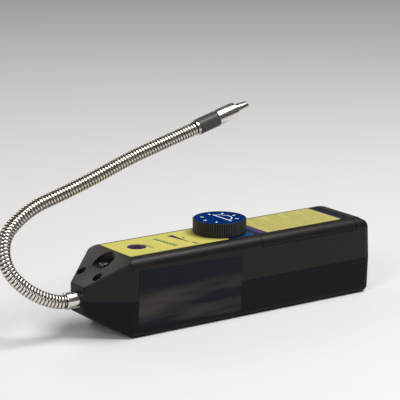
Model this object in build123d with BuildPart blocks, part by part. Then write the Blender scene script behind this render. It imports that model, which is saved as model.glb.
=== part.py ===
"""Refrigerant leak detector: a moulded two-part housing with a bendable sensing probe.

The origin is the centre of the flat underside. X runs from the nose (-) to the battery
end (+), Y from the labelled side (-) to the plain side (+), and Z is up.
"""

from build123d import *
import math
import os

# Housing, in millimetres and degrees

housing_length = 229.0
housing_width = 55.0  # at the parting line, where it is widest
housing_height = 54.5
parting_height = 26.0
draft_angle = 1.5
wall = 2.4
shoulder_radius = 7.0
rear_corner_radius = 9.0
bottom_edge_radius = 4.5
taper_edge_radius = 4.0
nose_edge_radius = 1.2
nose_corner_radius = 2.0

# Nose: a small flat front between two side tapers, a top slope and a bottom slope

nose_width = 16.5
nose_bottom = 17.0
nose_top = 35.6
side_taper_length = 28.2
top_slope_length = 30.0
bottom_slope_length = 28.0
screw_well_diameter = 16.0
screw_well_from_front = 21.5
screw_well_floor = 45.5
outlet_diameter = 6.3
outlet_from_front = 10.1
outlet_spacing = 19.5

# Joint between the two shells

tongue_thickness = 1.1
tongue_height = 1.2
fit_gap = 0.15

# Battery door

door_front = 134.2  # from the nose
door_length = 83.1
door_depth = 7.4  # from the roof down to its side edges
door_gap = 0.35
door_tongue_width = 10.0
door_tongue_spacing = 24.0
door_tongue_reach = 3.0
door_tongue_thickness = 1.4
door_tongue_drop = 0.3
door_tab_width = 14.0
door_tab_depth = 6.0
door_tab_thickness = 1.6
door_tab_inset = 1.2
door_rear_gap = 0.6
door_hinge_radius = 1.5  # of its front edge, round the line that it swings about

# Labels

label_thickness = 0.2
top_label_front = 30.65  # from the nose
top_label_width = 37.8
label_corner_radius = 1.0
label_margin = 0.5
side_label_front = 31.4
side_label_length = 84.4
side_label_height = 39.0
side_label_middle = 25.6
side_label_tilt = 1.8

# Sensitivity knob and its control

knob_from_front = 116.5
knob_diameter = 37.2
knob_height = 9.4
knob_gap = 1.15
knob_wall = 2.0
knob_roof = 1.5
knob_ribs = 72
knob_rib_depth = 0.45
knob_edge_chamfer = 0.4
shaft_seat = 2.0
shaft_end_gap = 0.65  # under the knob's roof
control_tab_reach = 5.0
control_tab_width = 11.0
cap_diameter = 35.2
cap_thickness = 0.45
cap_recess = 0.6
hub_diameter = 10.5
hub_gap = 0.4
shaft_diameter = 6.0
shaft_flat = 1.5
shaft_clearance = 0.05
bushing_diameter = 9.5
bushing_height = 3.1
control_diameter = 17.0
control_height = 8.5
switch_diameter = 16.0
switch_height = 6.5
nut_across_flats = 12.7
nut_height = 2.0
washer_diameter = 15.0
washer_thickness = 0.5

# Indicator

window_from_front = 47.9
window_diameter = 13.0
window_seat_depth = 1.2
window_ledge = 1.1
lamp_diameter = 5.0
lamp_height = 8.6
lamp_gap = 0.3
lamp_rim = 0.4
lamp_leg = 0.5
window_crown = 0.4
spacer_diameter = 6.4
spacer_bore = 4.4

# Probe neck, bent in a plane that leans away from the labelled side

neck_lean = 25.0
ferrule_length = 9.5
ferrule_diameter = 11.4
ferrule_bore = 5.0
ferrule_chamfer = 0.6
flange_diameter = 14.0
flange_thickness = 1.8
tail_diameter = 7.0
tail_length = 4.2
tail_bore = 3.2
neck_diameter = 9.6
neck_root_diameter = 8.5
neck_bore = 5.2
winding_pitch = 2.4
winding_count = 103
neck_bends = (
    # bend radius, turn in degrees: a turn below zero bends back
    (22.0, 18.0),
    (50.0, 36.0),
    (25.0, 89.5),
    (83.0, 23.0),
    (900.0, -4.0),
    (380.0, 4.0),
)

# Sensing end of the probe

collar_length = 2.0
collar_diameter = 10.8
socket_length = 18.2
socket_diameter = 11.4
barrel_length = 18.9
barrel_diameter = 12.2
barrel_chamfer = 1.6
nozzle_length = 11.3
nozzle_base_diameter = 8.4
nozzle_end_diameter = 6.1
nozzle_bore = 3.6
nozzle_chamfer = 0.8
socket_wall = 2.0
insulator_length = 16.0
insulator_diameter = 7.6
electrode_reach = 7.0
electrode_diameter = 1.2

# Circuit board and what stands on it

board_front = 36.5  # from the nose
board_length = 70.0
board_width = 44.0
board_thickness = 1.6
board_underside = 30.4
post_diameter = 5.5
post_inset_x = 8.0
post_inset_y = 3.5
board_screw_diameter = 2.5
board_screw_length = 8.0
board_screw_head = 5.0
board_screw_head_height = 1.8
transformer_size = (20.0, 16.0, 14.0)
transformer_place = (1.0, -8.0)  # from the middle of the board
capacitor_diameter = 8.0
capacitor_height = 11.5
capacitor_places = ((0.0, 5.0), (-13.0, 2.0))
chip_size = (19.2, 6.4, 3.3)
chip_place = (-12.0, 12.0)
chip_legs = 14
chip_leg = 0.6
chip_leg_pitch = 2.54
chip_standoff = 0.6
sounder_diameter = 14.0
sounder_height = 7.6
sounder_bore = 3.0
sounder_place = (-17.0, -13.0)
trimmer_size = (9.5, 4.8, 10.0)
trimmer_place = (8.0, 13.0)

# Air pump

pump_axis_y = 6.5
pump_axis_z = 16.0
pump_front = 30.5  # from the nose
casing_diameter = 23.0
casing_width = 9.0
casing_wall = 1.2
motor_diameter = 18.0
motor_length = 25.0
motor_edge = 1.0
motor_shaft_depth = 16.0
motor_shaft_diameter = 2.0
motor_shaft_clearance = 0.04
wheel_diameter = 18.6
wheel_width = 4.6
wheel_blades = 9
wheel_hub_diameter = 5.0
blade_thickness = 0.8
blade_root = 0.2  # how far the blades run into the hub
inlet_diameter = 5.0
inlet_length = 2.0
inlet_bore = 3.2
tube_diameter = 5.0
tube_lead = 3.5
tube_crossing = 6.5
tube_swing_y = 8.8
tube_swing_z = 20.5
tube_bend = 2.5
saddle_top = 12.0
saddle_positions = (4.0, 19.0)  # from the front end of the motor
outlet_spigot_diameter = 4.5
outlet_spigot_bore = 3.0
outlet_spigot_top = 29.0

# Batteries and their contacts

cell_diameter = 26.2
cell_length = 50.0
cell_axis_z = 16.8
cell_front = 121.4  # from the nose
cell_nub_diameter = 7.0
cell_nub_length = 1.5
cell_edge = 0.8
contact_thickness = 0.4
contact_width = 12.0
leaf_width = 8.0
contact_height = 16.0
rib_thickness = 1.8
spring_reach = 3.3
cradle_positions = (26.0, 48.0, 76.0, 97.0)  # from the front end of the front cell
cradle_top = 11.0

# Fasteners

case_screw_diameter = 3.0
case_screw_head = 5.6
case_screw_head_height = 2.2
case_screw_length = 30.0
case_screw_seat = 6.0
case_boss_diameter = 9.0
upper_boss_diameter = 7.0
front_screws_from_front = 128.5
front_screws_spacing = 40.0
rear_screws_from_front = 221.5
rear_screws_spacing = 37.0
nose_screw_head = 6.6
nose_screw_head_height = 2.3
nose_screw_length = 17.0
nose_post_diameter = 6.0
nose_boss_bottom = 38.0
recess_length = 3.3
recess_width = 0.9
recess_depth = 1.0
screw_head_round = 0.6
boss_web = 1.8  # thickness of the webs that tie the upper bosses to the side walls
screw_clearance = 0.2
screw_fit = 0.02

# Places worked out from the sizes above

front = -housing_length / 2
rear = housing_length / 2
far = 2 * housing_length
top_inside = housing_height - wall
knob_x = front + knob_from_front
window_x = front + window_from_front
well_x = front + screw_well_from_front
door_x = front + door_front
door_rear_x = door_x + door_length
door_edge_height = housing_height - door_depth
hinge_x = door_x + door_gap + door_hinge_radius
hinge_z = housing_height - door_hinge_radius
knob_bottom = housing_height + knob_gap
knob_top = knob_bottom + knob_height
cap_seat = knob_top - cap_recess
roof_low = cap_seat - knob_roof
shaft_top = roof_low - shaft_end_gap
board_x = front + board_front + board_length / 2
board_top = board_underside + board_thickness
pump_x = front + pump_front
motor_x = pump_x + casing_width
cell_x = front + cell_front
contact_x = cell_x + 2 * cell_length + spring_reach
outlet_x = front + outlet_from_front
neck_rib_x = front + wall + flange_thickness + fit_gap
case_screw_end = case_screw_seat + case_screw_length
saddle_spots = [motor_x + place for place in saddle_positions]
cradle_spots = [cell_x + place for place in cradle_positions]
control_low = top_inside - control_height
bushing_top = housing_height + bushing_height
hub_low = bushing_top + hub_gap
post_spots = [
    (board_x + x * (board_length / 2 - post_inset_x), y * (board_width / 2 - post_inset_y))
    for x in (-1, 1)
    for y in (-1, 1)
]
case_screw_spots = [
    (front + front_screws_from_front, -front_screws_spacing / 2),
    (front + front_screws_from_front, front_screws_spacing / 2),
    (front + rear_screws_from_front, -rear_screws_spacing / 2),
    (front + rear_screws_from_front, rear_screws_spacing / 2),
]

neck_plane = Plane(
    origin=(front, 0, parting_height),
    x_dir=(-1, 0, 0),
    z_dir=(0, math.cos(math.radians(neck_lean)), -math.sin(math.radians(neck_lean))),
)
neck_start = ferrule_length
neck_length = winding_pitch * winding_count


def save(part, name):
    """Label a finished piece and write it to its own file."""
    part.label = name
    export_step(part, f"parts/{name}.step")


def across(x):
    """The upright plane across the housing at x, with Y to its right and Z up."""
    return Plane(origin=(x, 0, 0), x_dir=(0, 1, 0), z_dir=(1, 0, 0))


def half_form(inset, rise):
    """One half of the housing form, growing up from the parting plane and narrowing."""
    with BuildPart() as half:
        with BuildSketch(Plane.XY.offset(parting_height)) as outline:
            Rectangle(housing_length - 2 * inset, housing_width - 2 * inset)
            fillet(outline.vertices().group_by(Axis.X)[-1], rear_corner_radius - inset)
        extrude(amount=rise - inset, taper=draft_angle)
    return half.part


def housing_form(inset):
    """The closed outer form of the housing, moved inwards by inset on every side."""
    side_angle = math.atan2((housing_width - nose_width) / 2, side_taper_length)
    top_angle = math.atan2(housing_height - nose_top, top_slope_length)
    bottom_angle = math.atan2(nose_bottom, bottom_slope_length)
    reach = 1.5 * side_taper_length
    upper = half_form(inset, housing_height - parting_height)
    parting_axis = Axis((0, 0, parting_height), (1, 0, 0))
    lower = half_form(inset, parting_height).rotate(parting_axis, 180)
    with BuildPart() as form:
        add(upper)
        add(lower)
        # All edges of a face but its front one, which stays sharp under the nose's slope
        top_face = form.faces().sort_by(Axis.Z)[-1]
        fillet(top_face.edges().sort_by(Axis.X)[1:], shoulder_radius - inset)
        bottom_face = form.faces().sort_by(Axis.Z)[0]
        fillet(bottom_face.edges().sort_by(Axis.X)[1:], bottom_edge_radius - inset)
        with BuildSketch() as tapers:
            with BuildLine():
                start = nose_width / 2 - inset / math.cos(side_angle)
                Polyline(
                    (front, start),
                    (front + reach, start + reach * math.tan(side_angle)),
                    (front + reach, far),
                    (front, far),
                    close=True,
                )
            make_face()
            mirror(about=Plane.XZ)
        extrude(amount=housing_height, mode=Mode.SUBTRACT)
        with BuildSketch(Plane.XZ) as slopes:
            with BuildLine():
                start = nose_top - inset / math.cos(top_angle)
                end = start + reach * math.tan(top_angle)
                Polyline((front, start), (front + reach, end), (front, end), close=True)
            make_face()
            with BuildLine():
                start = nose_bottom + inset / math.cos(bottom_angle)
                end = start - reach * math.tan(bottom_angle)
                Polyline((front, start), (front + reach, end), (front, end), close=True)
            make_face()
        extrude(amount=housing_width, both=True, mode=Mode.SUBTRACT)
    return form.part


def steepness(edge):
    """How steeply an edge runs, from 0 when level to 1 when upright."""
    return abs(edge.tangent_at(0.5).Z)


def outer_housing():
    """The outer form with the moulded edges of its nose rounded."""
    taper_end = front + side_taper_length
    with BuildPart() as form:
        add(housing_form(0))
        wall_corners = form.edges().filter_by(
            lambda edge: abs(edge.center().X - taper_end) < taper_edge_radius / 2
            and abs(edge.center().Y) > housing_width / 2 - 1
            and steepness(edge) > 0.9
        )
        fillet(wall_corners, taper_edge_radius)
        front_corners = form.edges().filter_by(
            lambda edge: edge.center().X < front + nose_edge_radius and steepness(edge) > 0.9
        )
        fillet(front_corners, nose_corner_radius)
        for upper in (True, False):
            slope_edges = form.edges().filter_by(
                lambda edge: edge.center().X < taper_end - taper_edge_radius
                and steepness(edge) < 0.7
                and (
                    edge.center().Z > nose_top - nose_edge_radius
                    if upper
                    else edge.center().Z < nose_bottom + nose_edge_radius
                )
            )
            fillet(slope_edges, nose_edge_radius)
    return form.part


def stretch(low, high, x_low=-far, x_high=far):
    """A plain block between two heights, for keeping or cutting a stretch of a form."""
    with BuildPart() as block:
        with BuildSketch(Plane.XY.offset(low)):
            with Locations(((x_low + x_high) / 2, 0)):
                Rectangle(x_high - x_low, far)
        extrude(amount=high - low)
    return block.part


def round_post(spots, diameter, low, high, bounds):
    """Round posts at the spots between two heights, kept within the bounds."""
    with BuildPart() as posts:
        with BuildSketch(Plane.XY.offset(low)):
            with Locations(spots):
                Circle(diameter / 2)
        extrude(amount=high - low)
        add(bounds, mode=Mode.INTERSECT)
    return posts.part


def bore(spots, diameter, low, high):
    """Cut round upright holes at the spots, between two heights, from the open part."""
    with BuildSketch(Plane.XY.offset(low)) as hole:
        with Locations(spots):
            Circle(diameter / 2)
    extrude(hole.sketch, amount=high - low, mode=Mode.SUBTRACT)


def bore_along(middle, diameter, x_low, x_high):
    """Cut a round hole along X, about a (Y, Z) middle, from the open part."""
    with BuildSketch(across(x_low)) as hole:
        with Locations(middle):
            Circle(diameter / 2)
    extrude(hole.sketch, amount=x_high - x_low, mode=Mode.SUBTRACT)


def cross_rib(x, thickness, half_width, top, bounds, y=0.0):
    """An upright rib across the housing, from its floor to a height, within the bounds."""
    with BuildPart() as rib:
        with BuildSketch(across(x)):
            with Locations((y, top / 2)):
                Rectangle(2 * half_width, top)
        extrude(amount=thickness)
        add(bounds, mode=Mode.INTERSECT)
    return rib.part


def cut_neck_passage():
    """Cut the stepped way of the ferrule through the nose and the rib behind it."""
    middle = (0, parting_height)
    bore_along(middle, ferrule_diameter + fit_gap, front - wall, front + 2 * wall)
    bore_along(middle, flange_diameter + 2 * fit_gap, front + wall, neck_rib_x)
    bore_along(middle, tail_diameter + fit_gap, neck_rib_x - wall, neck_rib_x + 2 * wall)


def make_top_shell(outer, inner):
    """The upper moulding: nose slope with its screw well and air outlets, door opening."""
    well = [(well_x, 0)]
    with BuildPart() as top_shell:
        add(outer)
        add(inner, mode=Mode.SUBTRACT)
        add(cross_rib(neck_rib_x, wall, housing_width, nose_top, inner))
        add(round_post(case_screw_spots, upper_boss_diameter, 0, housing_height, outer))
        add(boss_webs(outer))
        cup_diameter = screw_well_diameter + 2 * wall
        add(round_post(well, cup_diameter, screw_well_floor - wall, housing_height, outer))
        nose_boss_diameter = nose_post_diameter + wall
        add(round_post(well, nose_boss_diameter, nose_boss_bottom, screw_well_floor, outer))
        split(bisect_by=Plane.XY.offset(parting_height), keep=Keep.TOP)
        add(tongue_form(wall - tongue_thickness - fit_gap, fit_gap), mode=Mode.SUBTRACT)
        cut_neck_passage()
        bore(well, screw_well_diameter, screw_well_floor, far)
        bore(well, case_screw_diameter + 2 * screw_clearance, 0, far)
        outlets = [(outlet_x, -outlet_spacing / 2), (outlet_x, outlet_spacing / 2)]
        bore(outlets, outlet_diameter, nose_top - wall, far)
        bore(case_screw_spots, case_screw_diameter + 2 * screw_fit, 0, case_screw_end + 1)
        seat_bottom = housing_height - window_seat_depth
        bore([(window_x, 0)], window_diameter + fit_gap, seat_bottom, far)
        bore([(window_x, 0)], window_diameter - 2 * window_ledge, top_inside - 1, far)
        bore([(knob_x, 0)], bushing_diameter + fit_gap, top_inside - 1, far)
        add(stretch(door_edge_height, far, door_x, door_rear_x), mode=Mode.SUBTRACT)
    save(top_shell.part, "top_shell")


def boss_webs(bounds):
    """Upright webs that tie the upper screw bosses to the side walls beside them."""
    with BuildPart() as webs:
        with BuildSketch():
            for x, y in case_screw_spots:
                side = math.copysign(housing_width / 2, y)
                with Locations((x, (y + side) / 2)):
                    Rectangle(boss_web, abs(side - y))
        extrude(amount=housing_height)
        add(bounds, mode=Mode.INTERSECT)
    return webs.part


def tongue_form(inset, extra):
    """The ring inside the wall, from the parting line up, that keys the shells together."""
    with BuildPart() as ring:
        add(housing_form(inset))
        add(stretch(parting_height, parting_height + tongue_height + extra), mode=Mode.INTERSECT)
        add(housing_form(wall + extra), mode=Mode.SUBTRACT)
    return ring.part


def make_bottom_shell(outer, inner):
    """The lower moulding: screw bosses, board posts and the cradles of pump and cells."""
    with BuildPart() as bottom_shell:
        add(outer)
        add(inner, mode=Mode.SUBTRACT)
        add(cross_rib(neck_rib_x, wall, housing_width, parting_height, inner))
        add(round_post(case_screw_spots, case_boss_diameter, 0, parting_height, outer))
        split(bisect_by=Plane.XY.offset(parting_height), keep=Keep.BOTTOM)
        add(tongue_form(wall - tongue_thickness, 0))
        add(round_post([(well_x, 0)], nose_post_diameter, 0, nose_boss_bottom, outer))
        add(round_post(post_spots, post_diameter, 0, board_underside, outer))
        for x in saddle_spots:
            half = motor_diameter / 2
            add(cross_rib(x, rib_thickness, half, saddle_top, inner, pump_axis_y))
        for x in cradle_spots:
            add(cross_rib(x, rib_thickness, cell_diameter / 2 + wall, cradle_top, inner))
        contact_top = cell_axis_z + contact_height / 2
        bulkhead_x = cell_x - contact_thickness - rib_thickness
        add(cross_rib(bulkhead_x, rib_thickness, contact_width, contact_top, inner))
        add(cross_rib(contact_x + contact_thickness, wall, contact_width, contact_top, inner))
        cut_neck_passage()
        pump_middle = (pump_axis_y, pump_axis_z)
        bore_along(pump_middle, motor_diameter + 2 * fit_gap, motor_x, motor_x + motor_length)
        cell_middle = (0, cell_axis_z)
        cell_end = cell_x + 2 * cell_length
        bore_along(cell_middle, cell_diameter + 2 * fit_gap, cell_x, cell_end)
        bore(case_screw_spots, case_screw_head + 2 * screw_clearance, 0, case_screw_seat)
        bore(case_screw_spots, case_screw_diameter + 2 * screw_clearance, 0, parting_height)
        board_screw_end = board_top - board_screw_length
        board_hole = board_screw_diameter + 2 * screw_fit
        bore(post_spots, board_hole, board_screw_end - 1, board_underside)
        nose_screw_end = screw_well_floor - nose_screw_length
        nose_hole = case_screw_diameter + 2 * screw_fit
        bore([(well_x, 0)], nose_hole, nose_screw_end - 1, nose_boss_bottom)
    save(bottom_shell.part, "bottom_shell")


def make_battery_door(outer, inner):
    """The door over the cells: it wraps both shoulders and swings about its front edge."""
    door_low = door_edge_height + door_gap
    door_start = door_x + door_gap
    door_end = door_rear_x - door_rear_gap
    with BuildPart() as battery_door:
        add(outer)
        add(inner, mode=Mode.SUBTRACT)
        add(stretch(door_low, far, door_start, door_end), mode=Mode.INTERSECT)
        # The front edge is round about the hinge line, so that it turns clear of the roof
        with BuildSketch(Plane.XZ):
            with Locations((hinge_x - door_hinge_radius / 2, hinge_z + door_hinge_radius / 2)):
                Rectangle(door_hinge_radius, door_hinge_radius)
            with Locations((hinge_x, hinge_z)):
                Circle(door_hinge_radius, mode=Mode.SUBTRACT)
        extrude(amount=housing_width, both=True, mode=Mode.SUBTRACT)
        tongue_top = top_inside - door_tongue_drop
        tongue_low = tongue_top - door_tongue_thickness
        tongue_tip = door_x - door_tongue_reach
        tongue_root = door_start + door_tongue_reach
        for side in (-1, 1):
            with BuildSketch(Plane.XZ.offset(side * door_tongue_spacing / 2)):
                with BuildLine():
                    Polyline(
                        (tongue_tip, tongue_low),
                        (tongue_root, tongue_low),
                        (tongue_root, top_inside),
                        (door_start, top_inside),
                        (door_start, tongue_top),
                        (tongue_tip, tongue_top),
                        close=True,
                    )
                make_face()
            extrude(amount=door_tongue_width / 2, both=True)
        with BuildSketch(Plane.XY.offset(top_inside - door_tab_depth)):
            with Locations((door_end - door_tab_inset, 0)):
                Rectangle(door_tab_thickness, door_tab_width)
        extrude(amount=door_tab_depth)
    save(battery_door.part, "battery_door")


def make_labels():
    """The three printed sheets: on the top, on the door and on the near side wall."""
    with BuildPart() as top_label:
        with BuildSketch(Plane.XY.offset(housing_height)) as sheet:
            label_end = door_x - label_margin
            label_start = front + top_label_front
            with Locations(((label_start + label_end) / 2, 0)):
                Rectangle(label_end - label_start, top_label_width)
            fillet(sheet.vertices().group_by(Axis.X)[0], label_corner_radius)
            with Locations((window_x, 0)):
                Circle(window_diameter / 2 + fit_gap, mode=Mode.SUBTRACT)
            with Locations((knob_x, 0)):
                Circle(washer_diameter / 2 + fit_gap, mode=Mode.SUBTRACT)
        extrude(amount=label_thickness)
    save(top_label.part, "top_label")

    with BuildPart() as door_label:
        with BuildSketch(Plane.XY.offset(housing_height)):
            label_start = hinge_x + label_margin
            label_end = door_rear_x - door_rear_gap - label_margin
            with Locations(((label_start + label_end) / 2, 0)):
                Rectangle(label_end - label_start, top_label_width)
        extrude(amount=label_thickness)
    save(door_label.part, "door_label")

    # The side sheet follows both drafted faces of the wall
    with BuildPart() as side_label:
        add(housing_form(-label_thickness))
        add(housing_form(0), mode=Mode.SUBTRACT)
        with BuildSketch(Plane.XZ) as sheet:
            middle_x = front + side_label_front + side_label_length / 2
            with Locations(Location((middle_x, side_label_middle), -side_label_tilt)):
                Rectangle(side_label_length, side_label_height)
            fillet(sheet.vertices(), label_corner_radius)
        extrude(amount=housing_width, mode=Mode.INTERSECT)
    save(side_label.part, "side_label")


def make_knob():
    """The sensitivity knob, ribbed round its rim, with the printed disc let into its top."""
    radius = knob_diameter / 2
    with BuildPart() as knob:
        with BuildSketch(Plane.XY.offset(knob_bottom)):
            with Locations((knob_x, 0)):
                Circle(radius)
        extrude(amount=knob_height)
        chamfer(knob.edges().sort_by(Axis.Z)[-1], knob_edge_chamfer)
        # A square on its corner leaves one V-shaped groove between two ribs
        with BuildSketch(Plane.XY.offset(knob_bottom)):
            with Locations((knob_x, 0)):
                with PolarLocations(radius, knob_ribs):
                    groove_side = math.sqrt(2) * knob_rib_depth
                    Rectangle(groove_side, groove_side, rotation=45)
        extrude(amount=knob_height, mode=Mode.SUBTRACT)
        with BuildSketch(Plane.XY.offset(cap_seat)):
            with Locations((knob_x, 0)):
                Circle(cap_diameter / 2 + fit_gap / 2)
        extrude(amount=knob_height, mode=Mode.SUBTRACT)
        with BuildSketch(Plane.XY.offset(knob_bottom)):
            with Locations((knob_x, 0)):
                Circle(radius - knob_wall)
        extrude(amount=roof_low - knob_bottom, mode=Mode.SUBTRACT)
        with BuildSketch(Plane.XY.offset(hub_low)):
            with Locations((knob_x, 0)):
                Circle(hub_diameter / 2)
        extrude(amount=roof_low - hub_low)
        with BuildSketch(Plane.XY.offset(hub_low)):
            add(shaft_section(shaft_clearance))
        extrude(amount=shaft_top + shaft_clearance - hub_low, mode=Mode.SUBTRACT)
    save(knob.part, "knob")

    with BuildPart() as knob_cap:
        with BuildSketch(Plane.XY.offset(cap_seat)):
            with Locations((knob_x, 0)):
                Circle(cap_diameter / 2)
        extrude(amount=cap_thickness)
    save(knob_cap.part, "knob_cap")


def shaft_section(clearance):
    """The D-shaped section of the shaft's upper end, made larger by a clearance."""
    radius = shaft_diameter / 2
    with BuildSketch() as section:
        with Locations((knob_x, 0)):
            Circle(radius + clearance)
        with Locations((knob_x, radius - shaft_flat + clearance + radius)):
            Rectangle(2 * shaft_diameter, 2 * radius, mode=Mode.SUBTRACT)
    return section.sketch


def make_control():
    """The sensitivity control with its switch, held to the roof by a washer and a nut."""
    switch_low = control_low - switch_height
    with BuildPart() as control:
        with BuildSketch(Plane.XY.offset(switch_low)):
            with Locations((knob_x, 0)):
                Circle(switch_diameter / 2)
        extrude(amount=switch_height)
        chamfer(control.edges().sort_by(Axis.Z)[0], knob_edge_chamfer)
        with BuildSketch(Plane.XY.offset(control_low)):
            with Locations((knob_x, 0)):
                Circle(control_diameter / 2)
            # The tab that carries the three terminals stands out on one side
            with Locations((knob_x - control_diameter / 2, 0)):
                Rectangle(control_tab_reach, control_tab_width)
        extrude(amount=control_height)
        with BuildSketch(Plane.XY.offset(top_inside)):
            with Locations((knob_x, 0)):
                Circle(bushing_diameter / 2)
        extrude(amount=wall + bushing_height)
        with BuildSketch(Plane.XY.offset(control_low + shaft_seat)):
            with Locations((knob_x, 0)):
                Circle(shaft_diameter / 2 + shaft_clearance)
        extrude(amount=far, mode=Mode.SUBTRACT)
    save(control.part, "control")

    with BuildPart() as control_shaft:
        with BuildSketch(Plane.XY.offset(control_low + shaft_seat)):
            with Locations((knob_x, 0)):
                Circle(shaft_diameter / 2)
        extrude(amount=bushing_top - control_low - shaft_seat)
        with BuildSketch(Plane.XY.offset(bushing_top)):
            add(shaft_section(0))
        extrude(amount=shaft_top - bushing_top)
    save(control_shaft.part, "control_shaft")

    with BuildPart() as control_washer:
        with BuildSketch(Plane.XY.offset(housing_height)):
            with Locations((knob_x, 0)):
                Circle(washer_diameter / 2)
                Circle(bushing_diameter / 2 + fit_gap, mode=Mode.SUBTRACT)
        extrude(amount=washer_thickness)
    save(control_washer.part, "control_washer")

    nut_low = housing_height + washer_thickness
    with BuildPart() as control_nut:
        with BuildSketch(Plane.XY.offset(nut_low)):
            with Locations((knob_x, 0)):
                RegularPolygon(nut_across_flats / 2, 6, major_radius=False)
                Circle(bushing_diameter / 2 + screw_fit, mode=Mode.SUBTRACT)
        extrude(amount=nut_height)
    save(control_nut.part, "control_nut")


def make_indicator():
    """The window in the roof, the lamp under it and the spacer that the lamp stands on."""
    seat = housing_height - window_seat_depth
    with BuildPart() as indicator_window:
        with BuildSketch(Plane.XZ):
            with BuildLine():
                radius = window_diameter / 2
                edge_top = housing_height + label_thickness
                Line((window_x, seat), (window_x + radius, seat))
                Line((window_x + radius, seat), (window_x + radius, edge_top))
                crown_radius = (radius**2 + window_crown**2) / (2 * window_crown)
                RadiusArc(
                    (window_x + radius, edge_top), (window_x, edge_top + window_crown), -crown_radius
                )
                Line((window_x, edge_top + window_crown), (window_x, seat))
            make_face()
        revolve(axis=Axis((window_x, 0, 0), (0, 0, 1)))
    save(indicator_window.part, "indicator_window")

    lamp_top = seat - lamp_gap
    lamp_low = lamp_top - lamp_height
    radius = lamp_diameter / 2
    with BuildPart() as lamp:
        with BuildSketch(Plane.XZ):
            with BuildLine():
                Polyline(
                    (window_x, lamp_top),
                    (window_x, lamp_low),
                    (window_x + radius + lamp_rim, lamp_low),
                    (window_x + radius + lamp_rim, lamp_low + 2 * lamp_rim),
                    (window_x + radius, lamp_low + 2 * lamp_rim),
                    (window_x + radius, lamp_top - radius),
                )
                RadiusArc((window_x + radius, lamp_top - radius), (window_x, lamp_top), -radius)
            make_face()
        revolve(axis=Axis((window_x, 0, 0), (0, 0, 1)))
        with BuildSketch(Plane.XY.offset(board_top)):
            with Locations((window_x, 0)):
                with GridLocations(chip_leg_pitch, 0, 2, 1):
                    Rectangle(lamp_leg, lamp_leg)
        extrude(amount=lamp_low - board_top)
    save(lamp.part, "lamp")

    with BuildPart() as lamp_spacer:
        with BuildSketch(Plane.XY.offset(board_top)):
            with Locations((window_x, 0)):
                Circle(spacer_diameter / 2)
                Circle(spacer_bore / 2, mode=Mode.SUBTRACT)
        extrude(amount=lamp_low - board_top)
    save(lamp_spacer.part, "lamp_spacer")


def make_ferrule():
    """The turned sleeve that joins the neck to the nose, trapped by its flange."""
    outer_end = front - ferrule_length
    flange_start = front + wall + fit_gap / 2
    flange_end = flange_start + flange_thickness
    radius = ferrule_diameter / 2
    low_bore = tail_bore / 2
    with BuildPart() as neck_ferrule:
        with BuildSketch(Plane.XZ.shift_origin((0, 0, parting_height))):
            with BuildLine():
                Polyline(
                    (outer_end, ferrule_bore / 2),
                    (outer_end, radius - ferrule_chamfer),
                    (outer_end + ferrule_chamfer, radius),
                    (flange_start, radius),
                    (flange_start, flange_diameter / 2),
                    (flange_end, flange_diameter / 2),
                    (flange_end, tail_diameter / 2),
                    (flange_end + tail_length, tail_diameter / 2),
                    (flange_end + tail_length, low_bore),
                    (front, low_bore),
                    (front, ferrule_bore / 2),
                    close=True,
                )
            make_face()
        revolve(axis=Axis((0, 0, parting_height), (1, 0, 0)))
    save(neck_ferrule.part, "neck_ferrule")


def neck_path():
    """The middle line of the neck: tangent arcs in the leaned plane, from the ferrule on."""
    with BuildLine() as path:
        place = Vector(neck_start, 0)
        heading = 0.0
        run = neck_length
        for radius, turn in neck_bends:
            angle = math.radians(heading)
            ahead = (math.cos(angle), math.sin(angle))
            arc = JernArc(start=place, tangent=ahead, radius=radius, arc_size=turn)
            place = arc @ 1
            heading += turn
            run -= arc.length
        Line(place, place + (arc % 1) * run)
    return neck_plane * path.wire()


def make_neck(path):
    """The bendable neck: a wound tube whose turns stand proud of the grooves between them."""
    steps = 2 * winding_count
    with BuildPart() as neck:
        for step in range(steps + 1):
            diameter = neck_root_diameter if step % 2 == 0 else neck_diameter
            share = step / steps
            section_plane = Plane(
                origin=path @ share, x_dir=neck_plane.z_dir, z_dir=path % share
            )
            with BuildSketch(section_plane):
                Circle(diameter / 2)
        loft(ruled=True)
        with BuildSketch(Plane(origin=path @ 0, x_dir=neck_plane.z_dir, z_dir=path % 0)):
            Circle(neck_bore / 2)
        sweep(path=path, mode=Mode.SUBTRACT)
    save(neck.part, "neck")


def make_turned(path, start, profile, name):
    """A piece turned about the probe's axis, from (distance past start, radius) points."""
    ahead = path % 1
    origin = path @ 1 + ahead * start
    with BuildPart() as piece:
        with BuildSketch(Plane(origin=origin, x_dir=ahead, z_dir=neck_plane.z_dir)):
            with BuildLine():
                Polyline(*profile, close=True)
            make_face()
        revolve(axis=Axis(origin, ahead))
    save(piece.part, name)


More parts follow.
